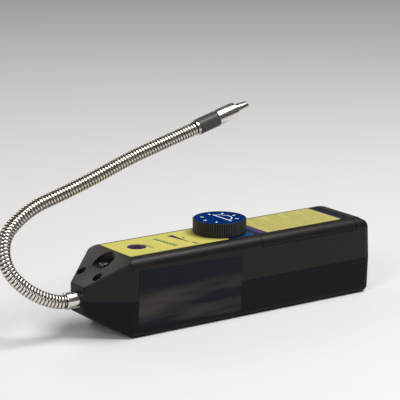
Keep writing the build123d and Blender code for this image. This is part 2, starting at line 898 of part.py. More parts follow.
def make_tip(path):
    """The sensing end: a collar, a dark socket, a barrel and a nozzle round the electrode."""
    bore_radius = neck_bore / 2
    insulator_radius = insulator_diameter / 2
    fit_radius = insulator_radius + fit_gap / 2
    socket_radius = socket_diameter / 2
    barrel_radius = barrel_diameter / 2
    socket_start = collar_length
    barrel_start = socket_start + socket_length
    nozzle_start = barrel_start + barrel_length
    insulator_start = nozzle_start - insulator_length
    collar = [
        (0, bore_radius),
        (0, collar_diameter / 2),
        (collar_length, collar_diameter / 2),
        (collar_length, bore_radius),
    ]
    make_turned(path, 0, collar, "probe_collar")
    socket = [
        (0, bore_radius),
        (0, socket_radius - ferrule_chamfer),
        (ferrule_chamfer, socket_radius),
        (socket_length, socket_radius),
        (socket_length, fit_radius),
        (socket_wall, fit_radius),
        (socket_wall, bore_radius),
    ]
    make_turned(path, socket_start, socket, "probe_socket")
    barrel = [
        (0, fit_radius),
        (0, barrel_radius),
        (barrel_length - barrel_chamfer, barrel_radius),
        (barrel_length, barrel_radius - barrel_chamfer),
        (barrel_length, fit_radius),
    ]
    make_turned(path, barrel_start, barrel, "probe_barrel")
    electrode_radius = electrode_diameter / 2
    insulator = [
        (0, electrode_radius + screw_fit),
        (0, insulator_radius),
        (insulator_length, insulator_radius),
        (insulator_length, electrode_radius + screw_fit),
    ]
    make_turned(path, insulator_start, insulator, "probe_insulator")
    electrode_length = insulator_length + electrode_reach
    electrode = [
        (0, 0),
        (0, electrode_radius),
        (electrode_length - electrode_radius, electrode_radius),
        (electrode_length, 0),
    ]
    make_turned(path, insulator_start, electrode, "probe_electrode")
    end_radius = nozzle_end_diameter / 2
    nozzle = [
        (0, nozzle_bore / 2),
        (0, nozzle_base_diameter / 2),
        (nozzle_length - nozzle_chamfer, end_radius),
        (nozzle_length, end_radius - nozzle_chamfer),
        (nozzle_length, nozzle_bore / 2),
    ]
    make_turned(path, nozzle_start, nozzle, "probe_nozzle")


def make_screw(spots, seat, head_diameter, head_height, shank_diameter, length, name, downwards):
    """Pan-head screws at the spots, with a cross recess, running down or up from a seat."""
    turn = 1 if downwards else -1
    head_plane = Plane(origin=(0, 0, seat), x_dir=(1, 0, 0), z_dir=(0, 0, turn))
    places = [(x, turn * y) for x, y in spots]
    with BuildPart() as screws:
        with BuildSketch(head_plane):
            with Locations(places):
                Circle(head_diameter / 2)
        extrude(amount=head_height)
        head_tops = screws.edges().filter_by(GeomType.CIRCLE).group_by(Axis.Z)
        fillet(head_tops[-1] if downwards else head_tops[0], screw_head_round)
        with BuildSketch(head_plane):
            with Locations(places):
                Circle(shank_diameter / 2)
        extrude(amount=-length)
        with BuildSketch(head_plane.offset(head_height - recess_depth)):
            with Locations(places):
                Rectangle(recess_length, recess_width)
                Rectangle(recess_width, recess_length)
        extrude(amount=recess_depth, mode=Mode.SUBTRACT)
    save(screws.part, name)


def make_screws():
    """The screws of the case, of the nose and of the circuit board."""
    make_screw(
        case_screw_spots,
        case_screw_seat,
        case_screw_head,
        case_screw_head_height,
        case_screw_diameter,
        case_screw_length,
        "case_screws",
        downwards=False,
    )
    make_screw(
        [(well_x, 0)],
        screw_well_floor,
        nose_screw_head,
        nose_screw_head_height,
        case_screw_diameter,
        nose_screw_length,
        "nose_screw",
        downwards=True,
    )
    make_screw(
        post_spots,
        board_top,
        board_screw_head,
        board_screw_head_height,
        board_screw_diameter,
        board_screw_length,
        "board_screws",
        downwards=True,
    )


def make_board():
    """The circuit board and the main parts that stand on it."""
    with BuildPart() as circuit_board:
        with BuildSketch(Plane.XY.offset(board_underside)):
            with Locations((board_x, 0)):
                Rectangle(board_length, board_width)
            with Locations(post_spots):
                Circle(board_screw_diameter / 2 + screw_clearance, mode=Mode.SUBTRACT)
        extrude(amount=board_thickness)
    save(circuit_board.part, "circuit_board")

    length, width, height = transformer_size
    with BuildPart() as transformer:
        with BuildSketch(Plane.XY.offset(board_top)):
            with Locations((board_x + transformer_place[0], transformer_place[1])):
                Rectangle(length, width)
        extrude(amount=height)
        # The winding is narrower than the core on both sides
        winding_margin = height / 5
        with BuildSketch(Plane.XZ.offset(-transformer_place[1])):
            with Locations((board_x + transformer_place[0], board_top + height / 2)):
                Rectangle(length - 2 * winding_margin, height - 2 * winding_margin)
        extrude(amount=width, both=True, mode=Mode.SUBTRACT)
        with BuildSketch(Plane.XY.offset(board_top + winding_margin)):
            with Locations((board_x + transformer_place[0], transformer_place[1])):
                Rectangle(length - 2 * winding_margin, width - winding_margin)
        extrude(amount=height - 2 * winding_margin)
    save(transformer.part, "transformer")

    with BuildPart() as capacitors:
        with BuildSketch(Plane.XY.offset(board_top)):
            with Locations([(board_x + x, y) for x, y in capacitor_places]):
                Circle(capacitor_diameter / 2)
        extrude(amount=capacitor_height)
        chamfer(capacitors.edges().group_by(Axis.Z)[-1], knob_edge_chamfer)
    save(capacitors.part, "capacitors")

    length, width, height = chip_size
    chip_x = board_x + chip_place[0]
    chip_y = chip_place[1]
    with BuildPart() as chip:
        with BuildSketch(Plane.XY.offset(board_top + chip_standoff)):
            with Locations((chip_x, chip_y)):
                Rectangle(length, width)
        extrude(amount=height)
        with BuildSketch(Plane.XY.offset(board_top)):
            with Locations((chip_x, chip_y)):
                with GridLocations(chip_leg_pitch, width + chip_leg, chip_legs // 2, 2):
                    Rectangle(chip_leg, chip_leg)
        extrude(amount=chip_standoff + height / 2)
    save(chip.part, "chip")

    with BuildPart() as sounder:
        with BuildSketch(Plane.XY.offset(board_top)):
            with Locations((board_x + sounder_place[0], sounder_place[1])):
                Circle(sounder_diameter / 2)
        extrude(amount=sounder_height)
        with BuildSketch(Plane.XY.offset(board_top + sounder_height)):
            with Locations((board_x + sounder_place[0], sounder_place[1])):
                Circle(sounder_bore / 2)
        extrude(amount=-sounder_height / 2, mode=Mode.SUBTRACT)
    save(sounder.part, "sounder")

    length, width, height = trimmer_size
    with BuildPart() as trimmer:
        with BuildSketch(Plane.XY.offset(board_top)):
            with Locations((board_x + trimmer_place[0], trimmer_place[1])):
                Rectangle(length, width)
        extrude(amount=height)
        with BuildSketch(Plane.XY.offset(board_top + height)):
            with Locations((board_x + trimmer_place[0] + length / 4, trimmer_place[1])):
                Circle(width / 4)
        extrude(amount=width / 6)
    save(trimmer.part, "trimmer")


def make_pump():
    """The small motor, its wheel in a round casing and the tube that brings the air in."""
    middle = (pump_axis_y, pump_axis_z)
    casing_radius = casing_diameter / 2
    with BuildPart() as pump_casing:
        with BuildSketch(across(pump_x)):
            with Locations(middle):
                Circle(casing_radius)
        extrude(amount=casing_width)
        with BuildSketch(across(pump_x - inlet_length)):
            with Locations(middle):
                Circle(inlet_diameter / 2)
        extrude(amount=inlet_length)
        spigot_y = pump_axis_y + casing_radius - outlet_spigot_diameter / 2 - casing_wall
        with BuildSketch(Plane.XY.offset(pump_axis_z)):
            with Locations((pump_x + casing_width / 2, spigot_y)):
                Circle(outlet_spigot_diameter / 2)
        extrude(amount=outlet_spigot_top - pump_axis_z)
        chamber = casing_diameter - 2 * casing_wall
        bore_along(middle, chamber, pump_x + casing_wall, motor_x - casing_wall)
        bore_along(middle, inlet_bore, pump_x - inlet_length, pump_x + casing_wall)
        hole = motor_shaft_diameter + 2 * fit_gap
        bore_along(middle, hole, pump_x + casing_wall, motor_x)
        outlet_spot = [(pump_x + casing_width / 2, spigot_y)]
        bore(outlet_spot, outlet_spigot_bore, pump_axis_z, outlet_spigot_top)
    save(pump_casing.part, "pump_casing")

    with BuildPart() as pump_motor:
        with BuildSketch(across(motor_x)):
            with Locations(middle):
                Circle(motor_diameter / 2)
        extrude(amount=motor_length)
        chamfer(pump_motor.edges().group_by(Axis.X)[-1], motor_edge)
        bore_along(
            middle,
            motor_shaft_diameter + 2 * motor_shaft_clearance,
            motor_x,
            motor_x + motor_shaft_depth,
        )
    save(pump_motor.part, "pump_motor")

    wheel_x = pump_x + (casing_width - wheel_width) / 2
    plate = wheel_width / 4
    with BuildPart() as pump_wheel:
        with BuildSketch(across(wheel_x + wheel_width - plate)):
            with Locations(middle):
                Circle(wheel_diameter / 2)
        extrude(amount=plate)
        with BuildSketch(across(wheel_x)):
            with Locations(middle):
                Circle(wheel_hub_diameter / 2)
                blade_middle = (wheel_diameter + wheel_hub_diameter) / 4
                blade_length = (wheel_diameter - wheel_hub_diameter) / 2
                with PolarLocations(blade_middle - blade_root, wheel_blades):
                    Rectangle(blade_length, blade_thickness)
        extrude(amount=wheel_width - plate)
        bore_along(middle, motor_shaft_diameter, wheel_x + plate, wheel_x + wheel_width)
    save(pump_wheel.part, "pump_wheel")

    with BuildPart() as motor_shaft:
        with BuildSketch(across(wheel_x + plate)):
            with Locations(middle):
                Circle(motor_shaft_diameter / 2)
        extrude(amount=motor_x + motor_shaft_depth - fit_gap - wheel_x - plate)
    save(motor_shaft.part, "motor_shaft")

    tube_start = front + wall + fit_gap / 2 + flange_thickness + tail_length
    with BuildPart() as air_tube:
        with BuildLine() as route:
            FilletPolyline(
                (tube_start, 0, parting_height),
                (tube_start + tube_lead, 0, parting_height),
                (tube_start + tube_lead + tube_crossing, tube_swing_y, tube_swing_z),
                (pump_x - inlet_length - tube_lead, pump_axis_y, pump_axis_z),
                (pump_x - inlet_length, pump_axis_y, pump_axis_z),
                radius=tube_bend,
            )
        with BuildSketch(across(tube_start)):
            with Locations((0, parting_height)):
                Circle(tube_diameter / 2)
                Circle(tail_bore / 2, mode=Mode.SUBTRACT)
        sweep(path=route.line)
    save(air_tube.part, "air_tube")


def make_cell(x, name):
    """One round battery with its raised contact at the front end."""
    body_x = x + cell_nub_length
    with BuildPart() as cell:
        with BuildSketch(across(x)):
            with Locations((0, cell_axis_z)):
                Circle(cell_nub_diameter / 2)
        extrude(amount=cell_nub_length)
        with BuildSketch(across(body_x)):
            with Locations((0, cell_axis_z)):
                Circle(cell_diameter / 2)
        extrude(amount=cell_length - cell_nub_length)
        chamfer(cell.edges().group_by(Axis.X)[-1], cell_edge)
    save(cell.part, name)


def make_batteries():
    """The two cells in line and the metal contacts at both ends of them."""
    make_cell(cell_x, "front_battery")
    make_cell(cell_x + cell_length, "rear_battery")
    contact_low = cell_axis_z - contact_height / 2
    with BuildPart() as front_contact:
        with BuildSketch(across(cell_x - contact_thickness)):
            with Locations((0, cell_axis_z)):
                Rectangle(contact_width, contact_height)
        extrude(amount=contact_thickness)
    save(front_contact.part, "front_contact")

    # The leaf bows forward from its plate and presses on the rear cell
    spring_x = cell_x + 2 * cell_length
    half_leaf = contact_height / 2 - contact_thickness
    with BuildPart() as rear_contact:
        with BuildSketch(across(contact_x)):
            with Locations((0, contact_low + contact_height / 2)):
                Rectangle(contact_width, contact_height)
        extrude(amount=contact_thickness)
        with BuildSketch(Plane.XZ):
            with BuildLine():
                low = cell_axis_z - half_leaf
                high = cell_axis_z + half_leaf
                ThreePointArc((contact_x, low), (spring_x, cell_axis_z), (contact_x, high))
                Line((contact_x, high), (contact_x, high - 2 * contact_thickness))
                ThreePointArc(
                    (contact_x, high - 2 * contact_thickness),
                    (spring_x + contact_thickness, cell_axis_z),
                    (contact_x, low + 2 * contact_thickness),
                )
                Line((contact_x, low + 2 * contact_thickness), (contact_x, low))
            make_face()
        extrude(amount=leaf_width / 2, both=True)
    save(rear_contact.part, "rear_contact")


os.makedirs("parts", exist_ok=True)
outer_form = outer_housing()
inner_form = housing_form(wall)
make_top_shell(outer_form, inner_form)
make_bottom_shell(outer_form, inner_form)
make_battery_door(outer_form, inner_form)
make_labels()
make_knob()
make_control()
make_indicator()
make_ferrule()
probe_path = neck_path()
make_neck(probe_path)
make_tip(probe_path)
make_screws()
make_board()
make_pump()
make_batteries()
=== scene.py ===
"""The looks of a refrigerant leak detector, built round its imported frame.

Every size is in metres and every piece is made where the frame has it. X runs from the nose
to the battery end, Y from the labelled side to the plain side, and Z is up.
"""

import math

import bmesh
import bpy
import numpy as np
from bpy.props import FloatProperty, FloatVectorProperty, IntProperty, PointerProperty
from bpy.types import Operator, Panel, PropertyGroup
from mathutils import Matrix, Vector


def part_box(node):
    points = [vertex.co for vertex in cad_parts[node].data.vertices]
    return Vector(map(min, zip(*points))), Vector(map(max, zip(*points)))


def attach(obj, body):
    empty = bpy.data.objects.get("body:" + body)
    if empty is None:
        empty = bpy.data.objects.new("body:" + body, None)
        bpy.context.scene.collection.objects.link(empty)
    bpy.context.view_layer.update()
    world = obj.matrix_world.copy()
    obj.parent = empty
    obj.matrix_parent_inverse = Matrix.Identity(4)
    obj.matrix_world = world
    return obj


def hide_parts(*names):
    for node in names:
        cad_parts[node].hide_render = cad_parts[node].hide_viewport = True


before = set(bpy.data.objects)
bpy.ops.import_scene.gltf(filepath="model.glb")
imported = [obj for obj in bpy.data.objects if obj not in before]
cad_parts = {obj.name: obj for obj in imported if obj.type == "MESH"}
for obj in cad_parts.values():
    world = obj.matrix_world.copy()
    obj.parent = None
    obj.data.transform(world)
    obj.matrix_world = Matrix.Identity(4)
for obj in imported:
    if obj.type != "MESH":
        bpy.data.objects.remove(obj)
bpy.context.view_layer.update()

bl_info = {
    "name": "Leak detector looks",
    "version": (1, 0, 0),
    "blender": (4, 5, 0),
    "location": "View3D > Sidebar > Leak detector",
    "description": "Builds the visible pieces and finishes of a refrigerant leak detector",
    "category": "Object",
}

MM = 0.001

# The colour sockets of a Mix node, which share their names with its number sockets

MIX_FIRST = 6
MIX_SECOND = 7
MIX_RESULT = 2

# The range that nearly all values of a noise lie in

NOISE_LOW = 0.3
NOISE_HIGH = 0.7

# Where the frame has the pieces that others are placed by

KNOB_LOW, KNOB_HIGH = (Vector(corner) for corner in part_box("knob"))
CAP_LOW, CAP_HIGH = (Vector(corner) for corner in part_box("knob_cap"))
WINDOW_LOW, WINDOW_HIGH = (Vector(corner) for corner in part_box("indicator_window"))
TOP_SHEET_LOW, TOP_SHEET_HIGH = (Vector(corner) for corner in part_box("top_label"))
DOOR_SHEET_LOW, DOOR_SHEET_HIGH = (Vector(corner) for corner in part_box("door_label"))
HOUSING_LOW, HOUSING_HIGH = (Vector(corner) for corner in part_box("bottom_shell"))
FERRULE_LOW, FERRULE_HIGH = (Vector(corner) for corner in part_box("neck_ferrule"))
KNOB_MIDDLE = (KNOB_LOW + KNOB_HIGH) / 2
WINDOW_MIDDLE = (WINDOW_LOW + WINDOW_HIGH) / 2
NOSE_X = HOUSING_LOW.x
PARTING_Z = (FERRULE_LOW.z + FERRULE_HIGH.z) / 2

# Radius of the frame's upright rear corners

REAR_RADIUS = 9.0 * MM

# The neck's middle line, in a plane that leans from the upright: straight out to the
# ferrule's end, then tangent arcs

NECK_LEAN = math.radians(25.0)
NECK_START = NOSE_X - FERRULE_LOW.x
NECK_PITCH = 2.4 * MM
NECK_TURNS = 103
NECK_LENGTH = NECK_TURNS * NECK_PITCH
NECK_BENDS = (
    # Bend radius in metres, turn in degrees
    (22.0 * MM, 18.0),
    (50.0 * MM, 36.0),
    (25.0 * MM, 89.5),
    (83.0 * MM, 23.0),
    (900.0 * MM, -4.0),
    (380.0 * MM, 4.0),
)

# The point that the camera looks at: its height over the origin, then shifts in the picture

AIM_HEIGHT = 25.0 * MM
AIM_RIGHT = -11.81 * MM
AIM_UP = 51.34 * MM


class HousingLooks(PropertyGroup):
    """Colours of the moulded housing and its printed sheets."""

    plastic: FloatVectorProperty(
        name="Plastic",
        description="Colour of the upper moulding and the door",
        default=(0.0090, 0.0080, 0.0076),
        subtype="COLOR",
        min=0.0,
        max=1.0,
    )
    # Painted reflection: the lower moulding is the same black plastic, painted bluer for a blue
    # floor it reflects
    lower_reflection_plastic: FloatVectorProperty(
        name="Lower plastic",
        description="Colour of the lower moulding",
        default=(0.0055, 0.0066, 0.0092),
        subtype="COLOR",
        min=0.0,
        max=1.0,
    )
    sheet: FloatVectorProperty(
        name="Sheet",
        description="Ground colour of the top and door sheets",
        default=(0.56, 0.52, 0.13),
        subtype="COLOR",
        min=0.0,
        max=1.0,
    )
    side_sheet: FloatVectorProperty(
        name="Side sheet",
        description="Colour of the glossy sheet on the side wall",
        default=(0.0030, 0.0048, 0.0105),
        subtype="COLOR",
        min=0.0,
        max=1.0,
    )
    # Painted reflection: pale streaks painted low on the side sheet, for a reflection on its gloss
    reflection_streak: FloatVectorProperty(
        name="Streak",
        description="Colour of the pale streaks low on the side sheet",
        default=(0.0480, 0.0410, 0.0380),
        subtype="COLOR",
        min=0.0,
        max=1.0,
    )
    rear_corner: FloatProperty(
        name="Rear corner",
        description="Radius of the housing's upright rear corners",
        default=3.0 * MM,
        unit="LENGTH",
    )
    smooth_angle: FloatProperty(
        name="Smooth angle",
        description="Edges flatter than this angle are shaded smooth",
        default=math.radians(28.0),
        subtype="ANGLE",
    )


class NeckLooks(PropertyGroup):
    """Sizes and colours of the wound neck and the sensing end."""

    crest: FloatProperty(
        name="Crest diameter",
        description="Diameter over the turns of the neck",
        default=9.6 * MM,
        unit="LENGTH",
    )
    groove: FloatProperty(
        name="Groove diameter",
        description="Diameter at the bottom of the grooves",
        default=8.3 * MM,
        unit="LENGTH",
    )
    facets: IntProperty(
        name="Facets",
        description="Facets round the neck",
        default=36,
        min=12,
    )
    metal: FloatVectorProperty(
        name="Metal",
        description="Colour of the neck's plated metal",
        default=(0.74, 0.70, 0.65),
        subtype="COLOR",
        min=0.0,
        max=1.0,
    )
    probe_metal: FloatVectorProperty(
        name="Probe metal",
        description="Colour of the ferrule and the sensing end's bright pieces",
        default=(0.74, 0.71, 0.68),
        subtype="COLOR",
        min=0.0,
        max=1.0,
    )
    socket: FloatVectorProperty(
        name="Socket",
        description="Colour of the dark socket behind the barrel",
        default=(0.050, 0.046, 0.048),
        subtype="COLOR",
        min=0.0,
        max=1.0,
    )


class KnobLooks(PropertyGroup):
    """Colours of the knob and its disc, with painted shade in the rib grooves and a painted
    highlight on the crests.
    """

    # Painted shade: the grooves between the ribs are painted darker over this depth
    groove_shade_depth: FloatProperty(
        name="Rib depth",
        description="Depth over which the grooves between the ribs darken",
        default=0.35 * MM,
        unit="LENGTH",
    )
    # Painted highlight: the crests of the ribs are painted paler, where light catches them
    crest: FloatVectorProperty(
        name="Rib crest",
        description="Colour of the knob where hands have rubbed it",
        default=(0.0300, 0.0285, 0.0270),
        subtype="COLOR",
        min=0.0,
        max=1.0,
    )
    plastic: FloatVectorProperty(
        name="Plastic",
        description="Colour of the knob in its grooves",
        default=(0.0040, 0.0040, 0.0045),
        subtype="COLOR",
        min=0.0,
        max=1.0,
    )
    disc: FloatVectorProperty(
        name="Disc",
        description="Ground colour of the disc in the knob's top",
        default=(0.0020, 0.0160, 0.1050),
        subtype="COLOR",
        min=0.0,
        max=1.0,
    )
    thin_print: FloatVectorProperty(
        name="Thin print",
        description="Colour of the disc where its ground is printed thinner",
        default=(0.0020, 0.0300, 0.1500),
        subtype="COLOR",
        min=0.0,
        max=1.0,
    )


class StageLooks(PropertyGroup):
    """The floor, the light and the camera of the picture."""

    floor: FloatVectorProperty(
        name="Floor",
        description="Colour of the floor and backdrop",
        default=(0.78, 0.80, 0.83),
        subtype="COLOR",
        min=0.0,
        max=1.0,
    )
    azimuth: FloatProperty(
        name="Azimuth",
        description="Camera's turn about the upright",
        default=math.radians(-35.15),
        subtype="ANGLE",
    )
    elevation: FloatProperty(
        name="Elevation",
        description="Camera's height as an angle",
        default=math.radians(13.64),
        subtype="ANGLE",
    )
    distance: FloatProperty(
        name="Distance",
        description="Distance from the camera to the point it looks at",
        default=1.48404,
        unit="LENGTH",
    )
    lens: FloatProperty(
        name="Lens",
        description="Focal length for a sensor 36 mm wide",
        default=192.5,
        unit="CAMERA",
    )
    top_power: FloatProperty(
        name="Top light",
        description="Power of the wide lamp overhead",
        default=20.0,
        unit="POWER",
    )
    key_power: FloatProperty(
        name="Key light",
        description="Power of the lamp before the nose",
        default=7.0,
        unit="POWER",
    )
    slope_power: FloatProperty(
        name="Slope light",
        description="Power of the lamp behind",
        default=3.2,
        unit="POWER",
    )


def new_material(name, color, roughness, metallic=0.0, specular=0.5):
    """A Principled material with its constant values on the shader's own sockets."""
    material = bpy.data.materials.new(name)
    material.use_nodes = True
    shader = material.node_tree.nodes["Principled BSDF"]
    shader.inputs["Base Color"].default_value = (*color, 1.0)
    shader.inputs["Roughness"].default_value = roughness
    shader.inputs["Metallic"].default_value = metallic
    shader.inputs["Specular IOR Level"].default_value = specular
    material.diffuse_color = (*color, 1.0)
    return material


def add_node(material, kind, **values):
    """A node of a kind in a material, with its properties and named inputs set."""
    node = material.node_tree.nodes.new(kind)
    for key, value in values.items():
        if key in node.inputs:
            node.inputs[key].default_value = value
        else:
            setattr(node, key, value)
    return node


def join(material, out_node, out_name, in_node, in_name):
    """Link one node's output to another's input."""
    material.node_tree.links.new(out_node.outputs[out_name], in_node.inputs[in_name])


def shader_of(material):
    """The material's Principled shader."""
    return material.node_tree.nodes["Principled BSDF"]


def scaled(color, share):
    """A colour made darker or brighter by a share, up to full."""
    return tuple(min(1.0, share * part) for part in color)


def add_bump(material, height_node, height_name, strength, distance):
    """Bump from a height output, joined to the shader's normal."""
    bump = add_node(material, "ShaderNodeBump", Strength=strength, Distance=distance)
    join(material, height_node, height_name, bump, "Height")
    join(material, bump, "Normal", shader_of(material), "Normal")


def noise_of(material, scale, detail=2.0):
    """Noise over the object's own coordinates, with about so many patches to a metre."""
    place = add_node(material, "ShaderNodeTexCoord")
    noise = add_node(material, "ShaderNodeTexNoise", Scale=scale, Detail=detail)
    join(material, place, "Object", noise, "Vector")
    return noise


def vary_color(material, factor_node, factor_name, low, high):
    """The base colour mixed between two colours by a factor."""
    mix = add_node(material, "ShaderNodeMix", data_type="RGBA")
    mix.inputs[MIX_FIRST].default_value = (*low, 1.0)
    mix.inputs[MIX_SECOND].default_value = (*high, 1.0)
    join(material, factor_node, factor_name, mix, "Factor")
    join(material, mix, MIX_RESULT, shader_of(material), "Base Color")


def distance_from_axis(material, middle):
    """Distance from an upright axis through a middle, over the object's own coordinates."""
    place = add_node(material, "ShaderNodeTexCoord")
    centre = add_node(material, "ShaderNodeMapping")
    centre.inputs["Location"].default_value = (-middle.x, -middle.y, 0.0)
    centre.inputs["Scale"].default_value = (1.0, 1.0, 0.0)
    join(material, place, "Object", centre, "Vector")
    length = add_node(material, "ShaderNodeVectorMath", operation="LENGTH")
    join(material, centre, "Vector", length, "Vector")
    return length


def carry_over(material, node, output, start, end, low=0.0, high=1.0):
    """An output's range from start to end, carried onto the range from low to high."""
    spread = add_node(material, "ShaderNodeMapRange")
    spread.inputs["From Min"].default_value = start
    spread.inputs["From Max"].default_value = end
    spread.inputs["To Min"].default_value = low
    spread.inputs["To Max"].default_value = high
    join(material, node, output, spread, "Value")
    return spread


def vary_roughness(material, noise, low, high):
    """The roughness spread between two values by a noise."""
    spread = carry_over(material, noise, "Fac", NOISE_LOW, NOISE_HIGH, low, high)
    join(material, spread, "Result", shader_of(material), "Roughness")


def moulded_plastic(name, color, roughness, specular=0.22, clouded=True):
    """Moulded plastic: a fine spark-eroded grain, slight clouds in its sheen and its colour.

    Without the clouds in its colour, the colour is left for the caller to vary.
    """
    material = new_material(name, color, roughness, specular=specular)
    grain = noise_of(material, scale=5200.0, detail=3.0)
    add_bump(material, grain, "Fac", strength=0.16, distance=0.05 * MM)
    clouds = noise_of(material, scale=60.0, detail=4.0)
    vary_roughness(material, clouds, low=roughness - 0.05, high=roughness + 0.06)
    if clouded:
        vary_color(material, clouds, "Fac", scaled(color, 0.85), scaled(color, 1.35))
    return material


def plated_metal(name, color, roughness, clouded=True):
    """Bright plated metal: a faint grain, slight clouds in its sheen and its colour.

    Without the clouds in its colour, the colour is left for the caller to vary.
    """
    material = new_material(name, color, roughness, metallic=1.0)
    clouds = noise_of(material, scale=220.0, detail=4.0)
    vary_roughness(material, clouds, low=0.7 * roughness, high=1.6 * roughness)
    if clouded:
        vary_color(material, clouds, "Fac", scaled(color, 0.88), color)
    grain = noise_of(material, scale=2600.0)
    add_bump(material, grain, "Fac", strength=0.04, distance=0.02 * MM)
    return material


def plain_finish(name, color, roughness, metallic=0.0):
    """A finish for the pieces inside, a little uneven in its colour and its surface."""
    material = new_material(name, color, roughness, metallic=metallic)
    clouds = noise_of(material, scale=300.0, detail=3.0)
    vary_color(material, clouds, "Fac", scaled(color, 0.85), color)
    add_bump(material, clouds, "Fac", strength=0.05, distance=0.05 * MM)
    return material


def print_sheet(name, bands):
    """A printed sheet: bands of colour along X, faint mottling, under a clear film.

    A band is the place where it starts and its colour; the last one starts at the sheet's end.
    """
    material = new_material(name, bands[0][1], roughness=0.32, specular=0.02)
    place = add_node(material, "ShaderNodeTexCoord")
    split = add_node(material, "ShaderNodeSeparateXYZ")
    join(material, place, "Object", split, "Vector")
    start = bands[0][0]
    end = bands[-1][0] + MM
    spread = carry_over(material, split, "X", start, end)
    ramp = add_node(material, "ShaderNodeValToRGB")
    ramp.color_ramp.interpolation = "CONSTANT"
    elements = ramp.color_ramp.elements
    while len(elements) < len(bands):
        elements.new(0.5)
    for element, (edge, color) in zip(elements, bands):
        element.position = (edge - start) / (end - start)
        element.color = (*color, 1.0)
    join(material, spread, "Result", ramp, "Fac")
    clouds = noise_of(material, scale=90.0, detail=3.0)
    mottling = carry_over(material, clouds, "Fac", 0.0, 1.0, low=0.88, high=1.08)
    tint = add_node(material, "ShaderNodeMix", data_type="RGBA", blend_type="MULTIPLY")
    tint.inputs["Factor"].default_value = 1.0
    join(material, ramp, "Color", tint, MIX_FIRST)
    join(material, mottling, "Result", tint, MIX_SECOND)
    join(material, tint, MIX_RESULT, shader_of(material), "Base Color")
    add_bump(material, clouds, "Fac", strength=0.05, distance=0.1 * MM)
    return material


def side_film(color, reflection_streak):
    """The glossy film on the side wall, not quite flat, with streaks of painted reflection on its
    lower half.
    """
    material = new_material("side_sheet", color, roughness=0.18, specular=0.14)
    waves = noise_of(material, scale=26.0)
    add_bump(material, waves, "Fac", strength=0.35, distance=1.2 * MM)
    # Noise drawn out along the film makes long streaks of painted reflection
    place = add_node(material, "ShaderNodeTexCoord")
    stretch = add_node(material, "ShaderNodeMapping")
    stretch.inputs["Scale"].default_value = (11.0, 1.0, 75.0)
    join(material, place, "Object", stretch, "Vector")
    noise = add_node(material, "ShaderNodeTexNoise", Scale=1.0, Detail=3.0)
    join(material, stretch, "Vector", noise, "Vector")
    reflection_streaks = carry_over(material, noise, "Fac", start=0.42, end=0.62)
    # They are at full strength below the parting line and fade out above it
    split = add_node(material, "ShaderNodeSeparateXYZ")
    join(material, place, "Object", split, "Vector")
    gone, full = PARTING_Z + 9.0 * MM, PARTING_Z - 1.0 * MM
    lower_half = carry_over(material, split, "Z", start=gone, end=full)
    both = add_node(material, "ShaderNodeMath", operation="MULTIPLY")
    join(material, reflection_streaks, "Result", both, 0)
    join(material, lower_half, "Result", both, 1)
    # The streaks are painted reflection, mixed into the film's colour
    vary_color(material, both, "Value", color, reflection_streak)
    return material


def rib_shaded_plastic(looks):
    """The knob's plastic, with painted shade in its grooves and a painted highlight on the crests
    of its ribs.
    """
    material = moulded_plastic("knob_plastic", tuple(looks.plastic), roughness=0.42, clouded=False)
    rim = KNOB_HIGH.x - KNOB_MIDDLE.x
    reach = distance_from_axis(material, KNOB_MIDDLE)
    # Painted highlight on the rib crests, painted shade deeper in the grooves
    crest_light = carry_over(material, reach, "Value", rim - looks.groove_shade_depth, rim)
    vary_color(material, crest_light, "Result", tuple(looks.plastic), tuple(looks.crest))
    return material


def disc_print(looks):
    """The printed ground of the knob's disc, here and there a little thinner."""
    material = new_material("knob_disc", tuple(looks.disc), roughness=0.35, specular=0.0)
    clouds = noise_of(material, scale=120.0, detail=3.0)
    vary_color(material, clouds, "Fac", tuple(looks.disc), tuple(looks.thin_print))
    return material


def wound_metal(color):
    """The neck's plated metal, with painted shade: dark between the turns and at both ends, bright
    on the crests.
    """
    material = plated_metal("neck_metal", color, roughness=0.20, clouded=False)
    read = add_node(material, "ShaderNodeAttribute", attribute_name="unshaded_share")
    # Painted shade: where unshaded_share is low, the colour falls to 6 percent of the metal's
    crest = carry_over(material, read, "Fac", start=0.35, end=0.95)
    vary_color(material, crest, "Result", scaled(color, 0.06), color)
    return material


def window_plastic():
    """The indicator window's clear plastic: a purple rim round a nearly black middle."""
    material = new_material("window_lens", (0.030, 0.008, 0.050), roughness=0.25, specular=0.03)
    middle_radius, rim_radius = 2.4 * MM, 3.4 * MM
    reach = distance_from_axis(material, WINDOW_MIDDLE)
    rim = carry_over(material, reach, "Value", middle_radius, rim_radius)
    vary_color(material, rim, "Result", (0.003, 0.002, 0.006), (0.040, 0.010, 0.070))
    return material


def ink(name, color):
    """Printed ink, slightly uneven in its strength."""
    material = new_material(name, color, roughness=0.4, specular=0.02)
    clouds = noise_of(material, scale=900.0)
    vary_color(material, clouds, "Fac", color, scaled(color, 1.25))
    return material


def grid_faces(rows, columns, wrap_columns):
    """Four-sided faces of a grid of points numbered row by row, as one whole array."""
    row = np.arange(rows - 1)[:, None]
    column = np.arange(columns if wrap_columns else columns - 1)[None, :]
    after = (column + 1) % columns
    corners = (
        row * columns + column,
        row * columns + after,
        (row + 1) * columns + after,
        (row + 1) * columns + column,
    )
    shape = (rows - 1, column.size)
    spread = [np.broadcast_to(corner, shape) for corner in corners]
    return np.stack(spread, -1).reshape(-1, 4)


def mesh_object(name, points, faces):
    """An object at the origin from an array of points and a list of faces."""
    mesh = bpy.data.meshes.new(name)
    mesh.from_pydata(np.asarray(points).tolist(), [], faces)
    mesh.validate()
    piece = bpy.data.objects.new(name, mesh)
    bpy.context.collection.objects.link(piece)
    return piece


